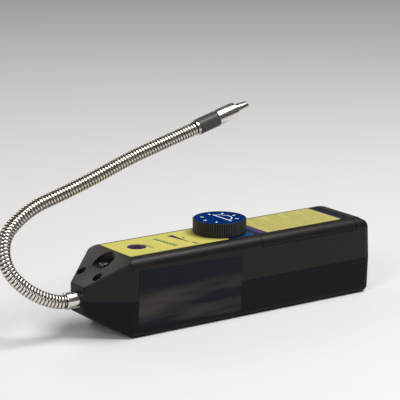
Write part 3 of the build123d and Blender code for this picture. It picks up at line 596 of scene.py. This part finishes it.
def clean(piece, merge=0.002 * MM, close=True):
    """Merge doubled points, close open loops and turn all faces outwards."""
    work = bmesh.new()
    work.from_mesh(piece.data)
    bmesh.ops.remove_doubles(work, verts=work.verts, dist=merge)
    bmesh.ops.dissolve_degenerate(work, edges=work.edges, dist=merge)
    if close:
        open_edges = [edge for edge in work.edges if edge.is_boundary]
        if open_edges:
            bmesh.ops.holes_fill(work, edges=open_edges)
    bmesh.ops.recalc_face_normals(work, faces=work.faces)
    work.to_mesh(piece.data)
    work.free()


def shade(piece, angle=math.radians(30.0)):
    """Smooth shading, with the edges sharper than an angle kept sharp."""
    smooth = np.ones(len(piece.data.polygons), dtype=bool)
    piece.data.polygons.foreach_set("use_smooth", smooth)
    piece.data.set_sharp_from_angle(angle=angle)


def finish_node(node, material):
    """Give a node of the frame its material."""
    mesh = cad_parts[node].data
    mesh.materials.clear()
    mesh.materials.append(material)


def settle(piece, body, slot, material, *nodes):
    """Give a piece its material and its body, and hide the nodes that it stands for; the slot is
    not used.
    """
    piece.data.materials.clear()
    piece.data.materials.append(material)
    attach(piece, body)
    if nodes:
        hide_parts(*nodes)


def turned_piece(name, profile, origin, axis, facets=96):
    """A piece turned about an axis.

    The point at (u, v) lies profile_distance(u) along the axis from the origin and
    profile_radius(u) from it, at the angle 2 pi v; the profile is a closed loop.
    """
    axis = np.asarray(axis, dtype=float)
    axis = axis / np.linalg.norm(axis)
    # The angle starts square to the axis and to Z, or to Y where the axis is upright
    side = np.cross(axis, (0.0, 0.0, 1.0))
    if np.linalg.norm(side) < 0.1:
        side = np.cross(axis, (0.0, 1.0, 0.0))
    side = side / np.linalg.norm(side)
    other = np.cross(axis, side)
    profile = np.asarray(profile, dtype=float)
    angle = 2 * math.pi * np.arange(facets) / facets
    ring = np.cos(angle)[:, None] * side + np.sin(angle)[:, None] * other
    points = (
        np.asarray(origin)[None, None, :]
        + profile[:, 0][:, None, None] * axis
        + profile[:, 1][:, None, None] * ring[None, :, :]
    )
    loop = np.concatenate([points, points[:1]], axis=0).reshape(-1, 3)
    piece = mesh_object(name, loop, grid_faces(len(profile) + 1, facets, True).tolist())
    clean(piece, close=False)
    shade(piece)
    return piece


def rounded(points, radius):
    """A closed profile with each corner replaced by a short curve.

    A corner P becomes the points P + reach ((1 - t)^2 back + t^2 ahead), t from 0 to 1, where
    back and ahead are unit steps along its two sides. The reach is the radius, or nearly half
    of the shorter side where that is less.
    """
    points = np.asarray(points, dtype=float)
    back = np.roll(points, 1, axis=0) - points
    ahead = np.roll(points, -1, axis=0) - points
    back_length = np.linalg.norm(back, axis=1, keepdims=True)
    ahead_length = np.linalg.norm(ahead, axis=1, keepdims=True)
    reach = np.minimum(radius, 0.45 * np.minimum(back_length, ahead_length))
    t = np.linspace(0.0, 1.0, 5)[None, :, None]
    curve = (
        points[:, None, :]
        + (1 - t) ** 2 * (reach * back / back_length)[:, None, :]
        + t**2 * (reach * ahead / ahead_length)[:, None, :]
    )
    return curve.reshape(-1, 2)


def neck_frame(distances):
    """Places, headings and normals of the neck's middle line at distances from the nose.

    The heading is the sum of every bend's turn times the share of that bend already passed, and
    the place is the running sum of the unit heading, in the leaned plane.
    """
    step = 0.02 * MM
    past_end = 80.0 * MM
    fine = np.arange(0.0, NECK_START + NECK_LENGTH + past_end, step)
    heading = np.zeros_like(fine)
    start = NECK_START
    for radius, turn in NECK_BENDS:
        length = radius * abs(math.radians(turn))
        heading += np.clip((fine - start) / length, 0.0, 1.0) * math.radians(turn)
        start += length
    between = (heading[1:] + heading[:-1]) / 2
    along = np.concatenate([[0.0], np.cumsum(np.cos(between) * step)])
    across = np.concatenate([[0.0], np.cumsum(np.sin(between) * step)])
    u = np.interp(distances, fine, along)[..., None]
    v = np.interp(distances, fine, across)[..., None]
    h = np.interp(distances, fine, heading)[..., None]
    up = np.array([0.0, math.sin(NECK_LEAN), math.cos(NECK_LEAN)])
    ahead = np.array([-1.0, 0.0, 0.0])
    places = np.array([NOSE_X, 0.0, PARTING_Z]) + u * ahead + v * up
    tangents = np.cos(h) * ahead + np.sin(h) * up
    normals = np.cos(h) * up - np.sin(h) * ahead
    return places, tangents, normals


def wound_neck(looks):
    """The neck as one strip wound round its middle line.

    The point at turn i and share w of the pitch lies at the distance pitch (i + w) along the
    middle line, at the angle of i, and groove + (crest - groove) |sin pi w|^0.6 from it, with
    the crest and the groove as radii. The attribute unshaded_share holds the last factor, and 0
    at both ends; where it is low the metal gets painted shade, in the grooves and at the ends.
    """
    faces_across = 8
    turns = NECK_TURNS + 1
    turn = np.arange(turns * looks.facets + 1)[:, None] / looks.facets - 1.0
    share = np.linspace(0.0, 1.0, faces_across + 1)[None, :]
    along = (turn + share) * NECK_PITCH
    inside = (along > 0) & (along < NECK_LENGTH)
    bead = np.abs(np.sin(math.pi * share)) ** 0.6 * inside
    groove = looks.groove / 2
    radius = groove + (looks.crest / 2 - groove) * bead
    distance = NECK_START + np.clip(along, 0.0, NECK_LENGTH)
    places, _, normals = neck_frame(distance)
    sideways = np.array([0.0, math.cos(NECK_LEAN), -math.sin(NECK_LEAN)])
    angle = (2 * math.pi * turn)[..., None]
    points = places + radius[..., None] * (np.cos(angle) * normals + np.sin(angle) * sideways)
    faces = grid_faces(len(turn), faces_across + 1, False)
    piece = mesh_object("neck_winding", points.reshape(-1, 3), faces.tolist())
    # The first and last stretch get painted shade, for the shade of the ferrule and the collar
    shaded = 0.9 * MM
    lit = (along > shaded) & (along < NECK_LENGTH - shaded)
    attribute = piece.data.attributes.new("unshaded_share", "FLOAT", "POINT")
    attribute.data.foreach_set("value", (bead * lit).astype(np.float32).ravel())
    clean(piece, merge=0.004 * MM)
    shade(piece, math.radians(60.0))
    return piece


def sensing_profiles():
    """Profiles of the sensing end's turned pieces, by node, each a closed loop of points.

    A point is its distance past the end of the neck and its radius, here in millimetres.
    """
    collar_end, socket_end, barrel_end, tip = 2.0, 20.2, 39.1, 50.4
    neck_bore, chamber, tip_bore = 2.6, 3.9, 1.8
    collar, socket, barrel, nozzle, mouth = 5.4, 5.7, 6.1, 4.2, 3.05
    chamfer, taper, lip, tip_round = 0.6, 1.6, 1.0, 0.3
    socket_floor = collar_end + 2.0
    profiles = {
        "probe_collar": [
            (0.0, neck_bore),
            (0.0, collar),
            (collar_end, collar),
            (collar_end, neck_bore),
        ],
        "probe_socket": [
            (collar_end, neck_bore),
            (collar_end, socket - chamfer),
            (collar_end + chamfer, socket),
            (socket_end, socket),
            (socket_end, chamber),
            (socket_floor, chamber),
            (socket_floor, neck_bore),
        ],
        "probe_barrel": [
            (socket_end, chamber),
            (socket_end, barrel),
            (barrel_end - taper, barrel),
            (barrel_end, barrel - taper),
            (barrel_end, chamber),
        ],
        "probe_nozzle": [
            (barrel_end, tip_bore),
            (barrel_end, nozzle),
            (tip - lip, mouth),
            (tip - tip_round, mouth - tip_round),
            (tip, mouth - lip),
            (tip, tip_bore),
        ],
    }
    edge_radius = 0.25 * MM
    return {
        node: rounded(np.array(profile) * MM, edge_radius) for node, profile in profiles.items()
    }


def copied_node(node, name, angle):
    """A copy of a node's mesh, its loose triangles joined into the faces they came from.

    Flat faces made whole again outweigh the rounds beside them, so they stay flat in the light.
    """
    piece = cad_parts[node].copy()
    piece.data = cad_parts[node].data.copy()
    piece.name = name
    piece.data.name = name
    piece.parent = None
    piece.matrix_world = Matrix.Identity(4)
    bpy.context.collection.objects.link(piece)
    work = bmesh.new()
    work.from_mesh(piece.data)
    bmesh.ops.remove_doubles(work, verts=work.verts, dist=0.001 * MM)
    flat = math.radians(0.2)
    bmesh.ops.dissolve_limit(work, angle_limit=flat, verts=work.verts, edges=work.edges)
    work.to_mesh(piece.data)
    work.free()
    shade(piece, angle)
    weighted = piece.modifiers.new("flat faces stay flat", "WEIGHTED_NORMAL")
    weighted.keep_sharp = True
    weighted.weight = 100
    return piece


def sharpen_rear_corners(piece, corner):
    """Draw the rear corners out from the frame's radius R to a smaller radius r.

    A point at the angle a about its corner's middle goes out by the ratio b(a) / R, where b(a)
    is how far the edge of a square of half side R, with its corner rounded to r, lies from the
    square's middle. Further in, behind the outer faces, the ratio fades to 1.
    """
    points = np.empty(3 * len(piece.data.vertices))
    piece.data.vertices.foreach_get("co", points)
    points = points.reshape(-1, 3)
    middle_x = HOUSING_HIGH.x - REAR_RADIUS
    middle_y = HOUSING_HIGH.y - REAR_RADIUS
    ahead = points[:, 0] - middle_x
    aside = np.abs(points[:, 1]) - middle_y
    angle = np.arctan2(np.maximum(aside, 0.0), np.maximum(ahead, 0.0))
    folded = np.minimum(angle, math.pi / 2 - angle)
    reach = REAR_RADIUS - corner
    toward = reach * (np.cos(angle) + np.sin(angle))
    root = np.maximum(toward**2 - 2 * reach**2 + corner**2, 0.0)
    on_arc = np.tan(folded) > reach / REAR_RADIUS
    edge = np.where(on_arc, toward + np.sqrt(root), REAR_RADIUS / np.cos(folded))
    fade_start, fade_length = 5.5 * MM, 1.0 * MM
    share = np.clip((np.hypot(ahead, aside) - fade_start) / fade_length, 0.0, 1.0)
    inside_corner = (ahead > 0) & (aside > 0)
    ratio = 1 + (edge / REAR_RADIUS - 1) * share * inside_corner
    points[:, 0] = middle_x + ahead * ratio
    points[:, 1] = np.sign(points[:, 1]) * (middle_y + aside * ratio)
    piece.data.vertices.foreach_set("co", points.ravel())
    piece.data.update()


def flat_shapes(name, outlines, height):
    """Flat printed shapes: each outline of (x, y) points is a thin plate from a height up."""
    thickness = 0.02 * MM
    points = []
    faces = []
    first = 0
    for outline in outlines:
        count = len(outline)
        low = np.column_stack([outline, np.full(count, height)])
        ring = first + np.arange(count)
        after = np.roll(ring, -1)
        points.append(low)
        points.append(low + (0.0, 0.0, thickness))
        faces.append(ring[::-1].tolist())
        faces.append((ring + count).tolist())
        faces.extend(np.column_stack([ring, after, after + count, ring + count]).tolist())
        first += 2 * count
    piece = mesh_object(name, np.concatenate(points), faces)
    clean(piece, merge=0.0002 * MM, close=False)
    return piece


def bar(x, y, length, width, turn=0.0):
    """The outline of a straight bar centred at (x, y) and turned by an angle."""
    corners = np.array([(-1, -1), (1, -1), (1, 1), (-1, 1)]) * (length / 2, width / 2)
    c, s = math.cos(turn), math.sin(turn)
    return corners @ np.array([[c, s], [-s, c]]) + (x, y)


def bar_row(start, step, count, size):
    """Outlines of bars of one size, length and width, each a step on from the last."""
    places = [(start[0] + k * step[0], start[1] + k * step[1]) for k in range(count)]
    return [bar(x, y, *size) for x, y in places]


def arc_strip(x, y, radius, width, start, end):
    """The outline of a strip bent round a middle: out along one radius, back along the other."""
    angle = np.linspace(start, end, 40)
    directions = np.stack([np.cos(angle), np.sin(angle)], -1)
    outer = directions * (radius + width / 2)
    inner = directions[::-1] * (radius - width / 2)
    return np.concatenate([outer, inner]) + (x, y)


def knob_mark_outlines(x, y):
    """Outlines of the marks on the disc about (x, y): a pointer, an arc and short strokes."""
    pointer = bar(
        x + 1.4 * MM, y - 1.0 * MM, length=22.2 * MM, width=0.9 * MM, turn=math.radians(-90.0)
    )
    arc_start, arc_end = math.radians(-72.0), math.radians(74.0)
    arc = arc_strip(x, y, 8.6 * MM, 0.7 * MM, arc_start, arc_end)
    outlines = [pointer, arc]
    # The strokes stand an eighth of a turn apart, with none at the pointer's tip
    ring = 12.2 * MM
    for degrees in range(-45, 226, 45):
        angle = math.radians(degrees)
        stroke_x = x + ring * math.cos(angle)
        stroke_y = y + ring * math.sin(angle)
        outlines.append(bar(stroke_x, stroke_y, length=2.6 * MM, width=1.1 * MM, turn=angle))
    return outlines


def strength_wedge():
    """The outline of a wedge that thins from the far side to the near one.

    At a share of the way across, its middle line has drifted along X by that share of the
    drift, and its half width is the widest times (1 - share)^1.5, plus the thinnest.
    """
    far_end, near_end = 12.0 * MM, -10.0 * MM
    start_x, drift = NOSE_X + 82.8 * MM, 2.0 * MM
    widest, thinnest = 2.2 * MM, 0.30 * MM
    share = np.linspace(0.0, 1.0, 24)
    across = far_end + (near_end - far_end) * share
    middle_x = start_x + drift * share
    half_width = widest * (1 - share) ** 1.5 + thinnest
    low_side = np.stack([middle_x - half_width, across], -1)
    high_side = np.stack([middle_x + half_width, across], -1)
    return np.concatenate([low_side, high_side[::-1]])


def door_line_outlines():
    """Outlines of rows of short strokes over the door sheet, their lengths from a fixed seed."""
    first_row, row_step, row_count = NOSE_X + 151.0 * MM, 3.7 * MM, 15
    near_end, far_end, short_end = -16.0 * MM, 16.0 * MM, 6.0 * MM
    thickness, gap = 0.9 * MM, 0.8 * MM
    random = np.random.default_rng(7)
    outlines = []
    for row in range(row_count):
        x = first_row + row_step * row
        y = near_end
        # Every fourth row is short
        row_end = far_end if row % 4 else short_end
        while y < row_end:
            length = float(random.uniform(1.0, 4.0)) * MM
            outlines.append(bar(x, y + length / 2, thickness, length))
            y += length + gap
    return outlines


class LEAKDETECTOR_OT_housing(Operator):
    """Dress the two shells and the battery door in moulded black plastic."""

    bl_idname = "leakdetector.housing"
    bl_label = "Housing"

    def execute(self, context):
        looks = context.scene.leakdetector_housing
        roughness = 0.40
        upper = moulded_plastic("upper_plastic", tuple(looks.plastic), roughness)
        # The lower moulding gets the bluer copy of the plastic, a painted reflection
        lower = moulded_plastic(
            "lower_reflection_plastic", tuple(looks.lower_reflection_plastic), roughness, specular=0.09
        )
        for node, body, plastic in (
            ("top_shell", "housing", upper),
            ("bottom_shell", "housing", lower),
            ("battery_door", "battery_door", upper),
        ):
            piece = copied_node(node, node + "_moulding", looks.smooth_angle)
            sharpen_rear_corners(piece, looks.rear_corner)
            settle(piece, body, "housing_plastic", plastic, node)
        return {"FINISHED"}


class LEAKDETECTOR_OT_neck(Operator):
    """Wind the bendable neck along its bent middle line."""

    bl_idname = "leakdetector.neck"
    bl_label = "Neck"

    def execute(self, context):
        looks = context.scene.leakdetector_neck
        piece = wound_neck(looks)
        settle(piece, "housing", "neck_steel", wound_metal(tuple(looks.metal)), "neck")
        return {"FINISHED"}


class LEAKDETECTOR_OT_sensing_end(Operator):
    """Plate the ferrule and turn the pieces of the sensing end."""

    bl_idname = "leakdetector.sensing_end"
    bl_label = "Sensing end"

    def execute(self, context):
        looks = context.scene.leakdetector_neck
        metal = plated_metal("probe_metal", tuple(looks.probe_metal), roughness=0.16)
        plastic = moulded_plastic("socket_plastic", tuple(looks.socket), roughness=0.34)
        ferrule = copied_node("neck_ferrule", "ferrule_turning", math.radians(30.0))
        settle(ferrule, "housing", "probe_metal", metal, "neck_ferrule")
        places, tangents, _ = neck_frame(np.array([NECK_START + NECK_LENGTH]))
        for node, profile in sensing_profiles().items():
            piece = turned_piece(node + "_turning", profile, places[0], tangents[0])
            if node == "probe_socket":
                settle(piece, "housing", "socket_plastic", plastic, node)
            else:
                settle(piece, "housing", "probe_metal", metal, node)
        return {"FINISHED"}


class LEAKDETECTOR_OT_knob(Operator):
    """Make the ribbed knob, its printed disc and the marks on it."""

    bl_idname = "leakdetector.knob"
    bl_label = "Knob"

    def execute(self, context):
        looks = context.scene.leakdetector_knob
        knob = copied_node("knob", "knob_moulding", math.radians(20.0))
        settle(knob, "knob", "knob_plastic", rib_shaded_plastic(looks), "knob")
        x, y = KNOB_MIDDLE.x, KNOB_MIDDLE.y
        low, high = CAP_LOW.z, CAP_HIGH.z
        radius = (CAP_HIGH.x - CAP_LOW.x) / 2
        # A hole too fine to see is left along the disc's axis
        pinhole = 0.01 * MM
        corners = [(low, pinhole), (low, radius), (high, radius), (high, pinhole)]
        profile = rounded(corners, 0.1 * MM)
        disc = turned_piece("knob_disc", profile, (x, y, 0), (0, 0, 1), facets=128)
        settle(disc, "knob", "knob_print", disc_print(looks), "knob_cap")
        marks = flat_shapes("knob_marks", knob_mark_outlines(x, y), high)
        settle(marks, "knob", "knob_print", ink("white_ink", (0.75, 0.80, 0.85)))
        return {"FINISHED"}


class LEAKDETECTOR_OT_sheets(Operator):
    """Print the sheets on the top, on the door and on the side wall."""

    bl_idname = "leakdetector.sheets"
    bl_label = "Printed sheets"

    def execute(self, context):
        looks = context.scene.leakdetector_housing
        ground = tuple(looks.sheet)
        greyer = tuple(0.80 * part + 0.03 for part in ground)
        blue = (0.003, 0.050, 0.150)
        purple = (0.085, 0.035, 0.130)
        navy = (0.004, 0.008, 0.020)
        # Where the bands of the two sheets end, from the nose
        top_ground_end = NOSE_X + 110.8 * MM
        door_blue_end = NOSE_X + 139.0 * MM
        door_stripe_end = NOSE_X + 143.5 * MM
        door_ground_end = NOSE_X + 208.0 * MM
        door_rear_stripe_end = NOSE_X + 209.6 * MM
        top_bands = [
            (TOP_SHEET_LOW.x - MM, ground),
            (top_ground_end, blue),
            (TOP_SHEET_HIGH.x, blue),
        ]
        door_bands = [
            (DOOR_SHEET_LOW.x - MM, blue),
            (door_blue_end, purple),
            (door_stripe_end, greyer),
            (door_ground_end, purple),
            (door_rear_stripe_end, navy),
            (DOOR_SHEET_HIGH.x, navy),
        ]
        finish_node("top_label", print_sheet("top_sheet", top_bands))
        finish_node("door_label", print_sheet("door_sheet", door_bands))
        finish_node("side_label", side_film(tuple(looks.side_sheet), tuple(looks.reflection_streak)))
        return {"FINISHED"}


class LEAKDETECTOR_OT_top_marks(Operator):
    """Print plain generic marks on the top sheet and rows of lines on the door sheet."""

    bl_idname = "leakdetector.top_marks"
    bl_label = "Marks on the sheets"

    def execute(self, context):
        top = TOP_SHEET_HIGH.z
        window_row = bar_row(
            start=(NOSE_X + 55.6 * MM, 3.2 * MM),
            step=(0.0, -1.7 * MM),
            count=8,
            size=(1.3 * MM, 1.1 * MM),
        )
        green_row = bar_row(
            start=(NOSE_X + 69.4 * MM, 9.0 * MM),
            step=(0.4 * MM, -3.4 * MM),
            count=7,
            size=(3.4 * MM, 2.0 * MM),
        )
        wedge_row = bar_row(
            start=(NOSE_X + 86.2 * MM, -11.4 * MM),
            step=(0.0, -1.6 * MM),
            count=4,
            size=(2.0 * MM, 1.0 * MM),
        )
        dot = bar(NOSE_X + 87.7 * MM, 2.0 * MM, length=1.6 * MM, width=2.0 * MM)
        purple_shapes = [strength_wedge(), *wedge_row, dot, *window_row]
        purple_marks = flat_shapes("top_marks", purple_shapes, top)
        settle(purple_marks, "housing", "top_print", ink("purple_ink", (0.045, 0.018, 0.070)))
        green_marks = flat_shapes("green_marks", green_row, top)
        settle(green_marks, "housing", "top_print", ink("green_ink", (0.012, 0.110, 0.075)))
        door_lines = flat_shapes("door_lines", door_line_outlines(), DOOR_SHEET_HIGH.z)
        settle(door_lines, "battery_door", "top_print", ink("brown_ink", (0.25, 0.21, 0.085)))
        return {"FINISHED"}


class LEAKDETECTOR_OT_indicator(Operator):
    """Make the domed indicator window, dark purple with a black middle."""

    bl_idname = "leakdetector.indicator"
    bl_label = "Indicator"

    def execute(self, context):
        # The dome falls off from its top by the crown times the squared share of the radius,
        # and a hole too fine to see is left along its axis
        crown = 0.4 * MM
        pinhole_share = 0.002
        radius = (WINDOW_HIGH.x - WINDOW_LOW.x) / 2
        low, high = WINDOW_LOW.z, WINDOW_HIGH.z
        share = np.linspace(1.0, pinhole_share, 24)
        dome = np.stack([high - crown * share**2, radius * share], -1)
        profile = np.concatenate([[(low, pinhole_share * radius), (low, radius)], dome])
        middle = (WINDOW_MIDDLE.x, WINDOW_MIDDLE.y, 0)
        piece = turned_piece("window_lens", profile, middle, (0, 0, 1))
        settle(piece, "housing", "window_plastic", window_plastic(), "indicator_window")
        return {"FINISHED"}


class LEAKDETECTOR_OT_fittings(Operator):
    """Give the screws and the pieces inside their finishes."""

    bl_idname = "leakdetector.fittings"
    bl_label = "Screws and inner pieces"

    def execute(self, context):
        # Painted shade: the screws' plated metal is painted dark, for the shade of the nose screw
        # deep in its well
        dimmed_screw_metal = plated_metal("screw_metal", (0.15, 0.146, 0.142), 0.28)
        steel = plain_finish("drawn_steel", (0.52, 0.52, 0.53), 0.32, metallic=1.0)
        brass = plain_finish("turned_brass", (0.70, 0.50, 0.20), 0.28, metallic=1.0)
        white = plain_finish("white_plastic", (0.72, 0.72, 0.70), 0.45)
        black = plain_finish("black_plastic", (0.03, 0.03, 0.03), 0.45)
        board = plain_finish("board_coating", (0.02, 0.20, 0.06), 0.35)
        sleeve = plain_finish("blue_sleeve", (0.02, 0.05, 0.22), 0.30)
        trimmer = plain_finish("blue_plastic", (0.03, 0.12, 0.50), 0.40)
        lamp = plain_finish("red_lamp", (0.60, 0.03, 0.03), 0.15)
        tube = plain_finish("pale_tube", (0.70, 0.68, 0.60), 0.35)
        jacket = plain_finish("cell_jacket", (0.55, 0.38, 0.08), 0.28, metallic=0.6)
        finishes = (
            (dimmed_screw_metal, "nose_screw", "case_screws", "board_screws"),
            (steel, "control", "control_shaft", "control_washer", "motor_shaft", "pump_motor"),
            (steel, "transformer", "front_contact", "rear_contact", "probe_electrode"),
            (brass, "control_nut"),
            (white, "lamp_spacer", "pump_casing", "pump_wheel", "probe_insulator"),
            (black, "chip", "sounder"),
            (board, "circuit_board"),
            (sleeve, "capacitors"),
            (trimmer, "trimmer"),
            (lamp, "lamp"),
            (tube, "air_tube"),
            (jacket, "front_battery", "rear_battery"),
        )
        for finish, *nodes in finishes:
            for node in nodes:
                finish_node(node, finish)
        return {"FINISHED"}


class LEAKDETECTOR_OT_stage(Operator):
    """Lay the floor and backdrop, hang the lights and set up the camera."""

    bl_idname = "leakdetector.stage"
    bl_label = "Stage"

    def execute(self, context):
        looks = context.scene.leakdetector_stage
        lay_floor(tuple(looks.floor), looks.azimuth)
        light_stage(looks)
        place_camera(looks)
        return {"FINISHED"}


def lay_floor(color, azimuth):
    """The floor and backdrop in one sheet, square to the camera.

    The point at (u, v) is u to the right. Along v it runs flat, then up a quarter circle, then
    straight up.
    """
    bend_radius = 0.6
    front_edge, bend_start = -2.5, 1.6
    top, half_width = 3.0, 3.5
    flat = np.linspace(front_edge, bend_start, 12)
    turn = np.linspace(0.0, math.pi / 2, 24)[1:]
    back_edge = bend_start + bend_radius
    depth = np.concatenate([flat, bend_start + bend_radius * np.sin(turn), [back_edge]])
    height = np.concatenate([np.zeros_like(flat), bend_radius * (1 - np.cos(turn)), [top]])
    width = np.linspace(-half_width, half_width, 9)
    right = np.array([math.cos(azimuth), math.sin(azimuth), 0.0])
    back = np.array([-math.sin(azimuth), math.cos(azimuth), 0.0])
    points = (
        width[None, :, None] * right
        + depth[:, None, None] * back
        + height[:, None, None] * np.array([0.0, 0.0, 1.0])
    )
    faces = grid_faces(len(depth), len(width), False)
    floor = mesh_object("stage_floor", points.reshape(-1, 3), faces.tolist())
    shade(floor, math.radians(40.0))
    material = new_material("floor", color, roughness=0.55)
    clouds = noise_of(material, scale=3.0)
    vary_color(material, clouds, "Fac", scaled(color, 0.985), color)
    floor.data.materials.append(material)


def add_area(name, place, target, size, power, color):
    """A rectangular soft lamp at a place, turned towards a target."""
    lamp = bpy.data.lights.new(name, "AREA")
    lamp.shape = "RECTANGLE"
    lamp.size, lamp.size_y = size
    lamp.energy = power
    lamp.color = color
    holder = bpy.data.objects.new(name, lamp)
    holder.location = place
    aim = Vector(target) - Vector(place)
    holder.rotation_euler = aim.to_track_quat("-Z", "Y").to_euler()
    bpy.context.collection.objects.link(holder)


def light_stage(looks):
    """Three soft lamps and a dim warm world; the background is pale by its own colour."""
    world = bpy.data.worlds.new("studio")
    bpy.context.scene.world = world
    world.use_nodes = True
    background = world.node_tree.nodes["Background"]
    background.inputs["Color"].default_value = (1.0, 0.93, 0.86, 1.0)
    background.inputs["Strength"].default_value = 0.12
    target = (0.0, 0.0, 0.05)
    # Each lamp's name, place, width and height, power and colour
    lamps = (
        ("top_light", (0.40, -0.34, 1.30), (1.0, 0.7), looks.top_power, (1.0, 0.98, 0.95)),
        ("key_light", (-1.1, -0.55, 0.75), (0.5, 0.7), looks.key_power, (1.0, 0.95, 0.88)),
        ("slope_light", (-0.30, 1.20, 0.85), (0.7, 0.5), looks.slope_power, (1.0, 0.92, 0.84)),
    )
    for name, place, size, power, color in lamps:
        add_area(name, place, target, size, power, color)


def place_camera(looks):
    """The camera at the photograph's angle, looking at a point beside the housing's middle."""
    az, el = looks.azimuth, looks.elevation
    back = Vector((math.sin(az) * math.cos(el), -math.cos(az) * math.cos(el), math.sin(el)))
    right = Vector((math.cos(az), math.sin(az), 0.0))
    up = back.cross(right)
    target = Vector((0.0, 0.0, AIM_HEIGHT)) + AIM_RIGHT * right + AIM_UP * up
    data = bpy.data.cameras.new("photo_camera")
    data.sensor_width = 36.0
    data.lens = looks.lens
    data.clip_end = 20.0
    camera = bpy.data.objects.new("photo_camera", data)
    turn = Matrix((right, up, back)).transposed()
    camera.matrix_world = Matrix.LocRotScale(target + back * looks.distance, turn, None)
    bpy.context.collection.objects.link(camera)
    bpy.context.scene.camera = camera
    bpy.context.scene.view_settings.view_transform = "Standard"


OPERATORS = (
    LEAKDETECTOR_OT_housing,
    LEAKDETECTOR_OT_neck,
    LEAKDETECTOR_OT_sensing_end,
    LEAKDETECTOR_OT_knob,
    LEAKDETECTOR_OT_sheets,
    LEAKDETECTOR_OT_top_marks,
    LEAKDETECTOR_OT_indicator,
    LEAKDETECTOR_OT_fittings,
    LEAKDETECTOR_OT_stage,
)


class LEAKDETECTOR_PT_panel(Panel):
    """The sidebar's list of what can be built."""

    bl_label = "Leak detector"
    bl_idname = "LEAKDETECTOR_PT_panel"
    bl_space_type = "VIEW_3D"
    bl_region_type = "UI"
    bl_category = "Leak detector"

    def draw(self, context):
        for operator in OPERATORS:
            self.layout.operator(operator.bl_idname)


SETTINGS = (
    ("leakdetector_housing", HousingLooks),
    ("leakdetector_neck", NeckLooks),
    ("leakdetector_knob", KnobLooks),
    ("leakdetector_stage", StageLooks),
)


def register():
    """Register the settings, the operators and the panel."""
    for name, group in SETTINGS:
        bpy.utils.register_class(group)
        setattr(bpy.types.Scene, name, PointerProperty(type=group))
    for cls in (*OPERATORS, LEAKDETECTOR_PT_panel):
        bpy.utils.register_class(cls)


def unregister():
    """Take the panel, the operators and the settings away again."""
    for cls in reversed((*OPERATORS, LEAKDETECTOR_PT_panel)):
        bpy.utils.unregister_class(cls)
    for name, group in reversed(SETTINGS):
        delattr(bpy.types.Scene, name)
        bpy.utils.unregister_class(group)


def main():
    """Build every piece in order."""
    register()
    for operator in OPERATORS:
        group, name = operator.bl_idname.split(".")
        getattr(getattr(bpy.ops, group), name)()
    bpy.context.view_layer.update()


if __name__ == "__main__":
    main()
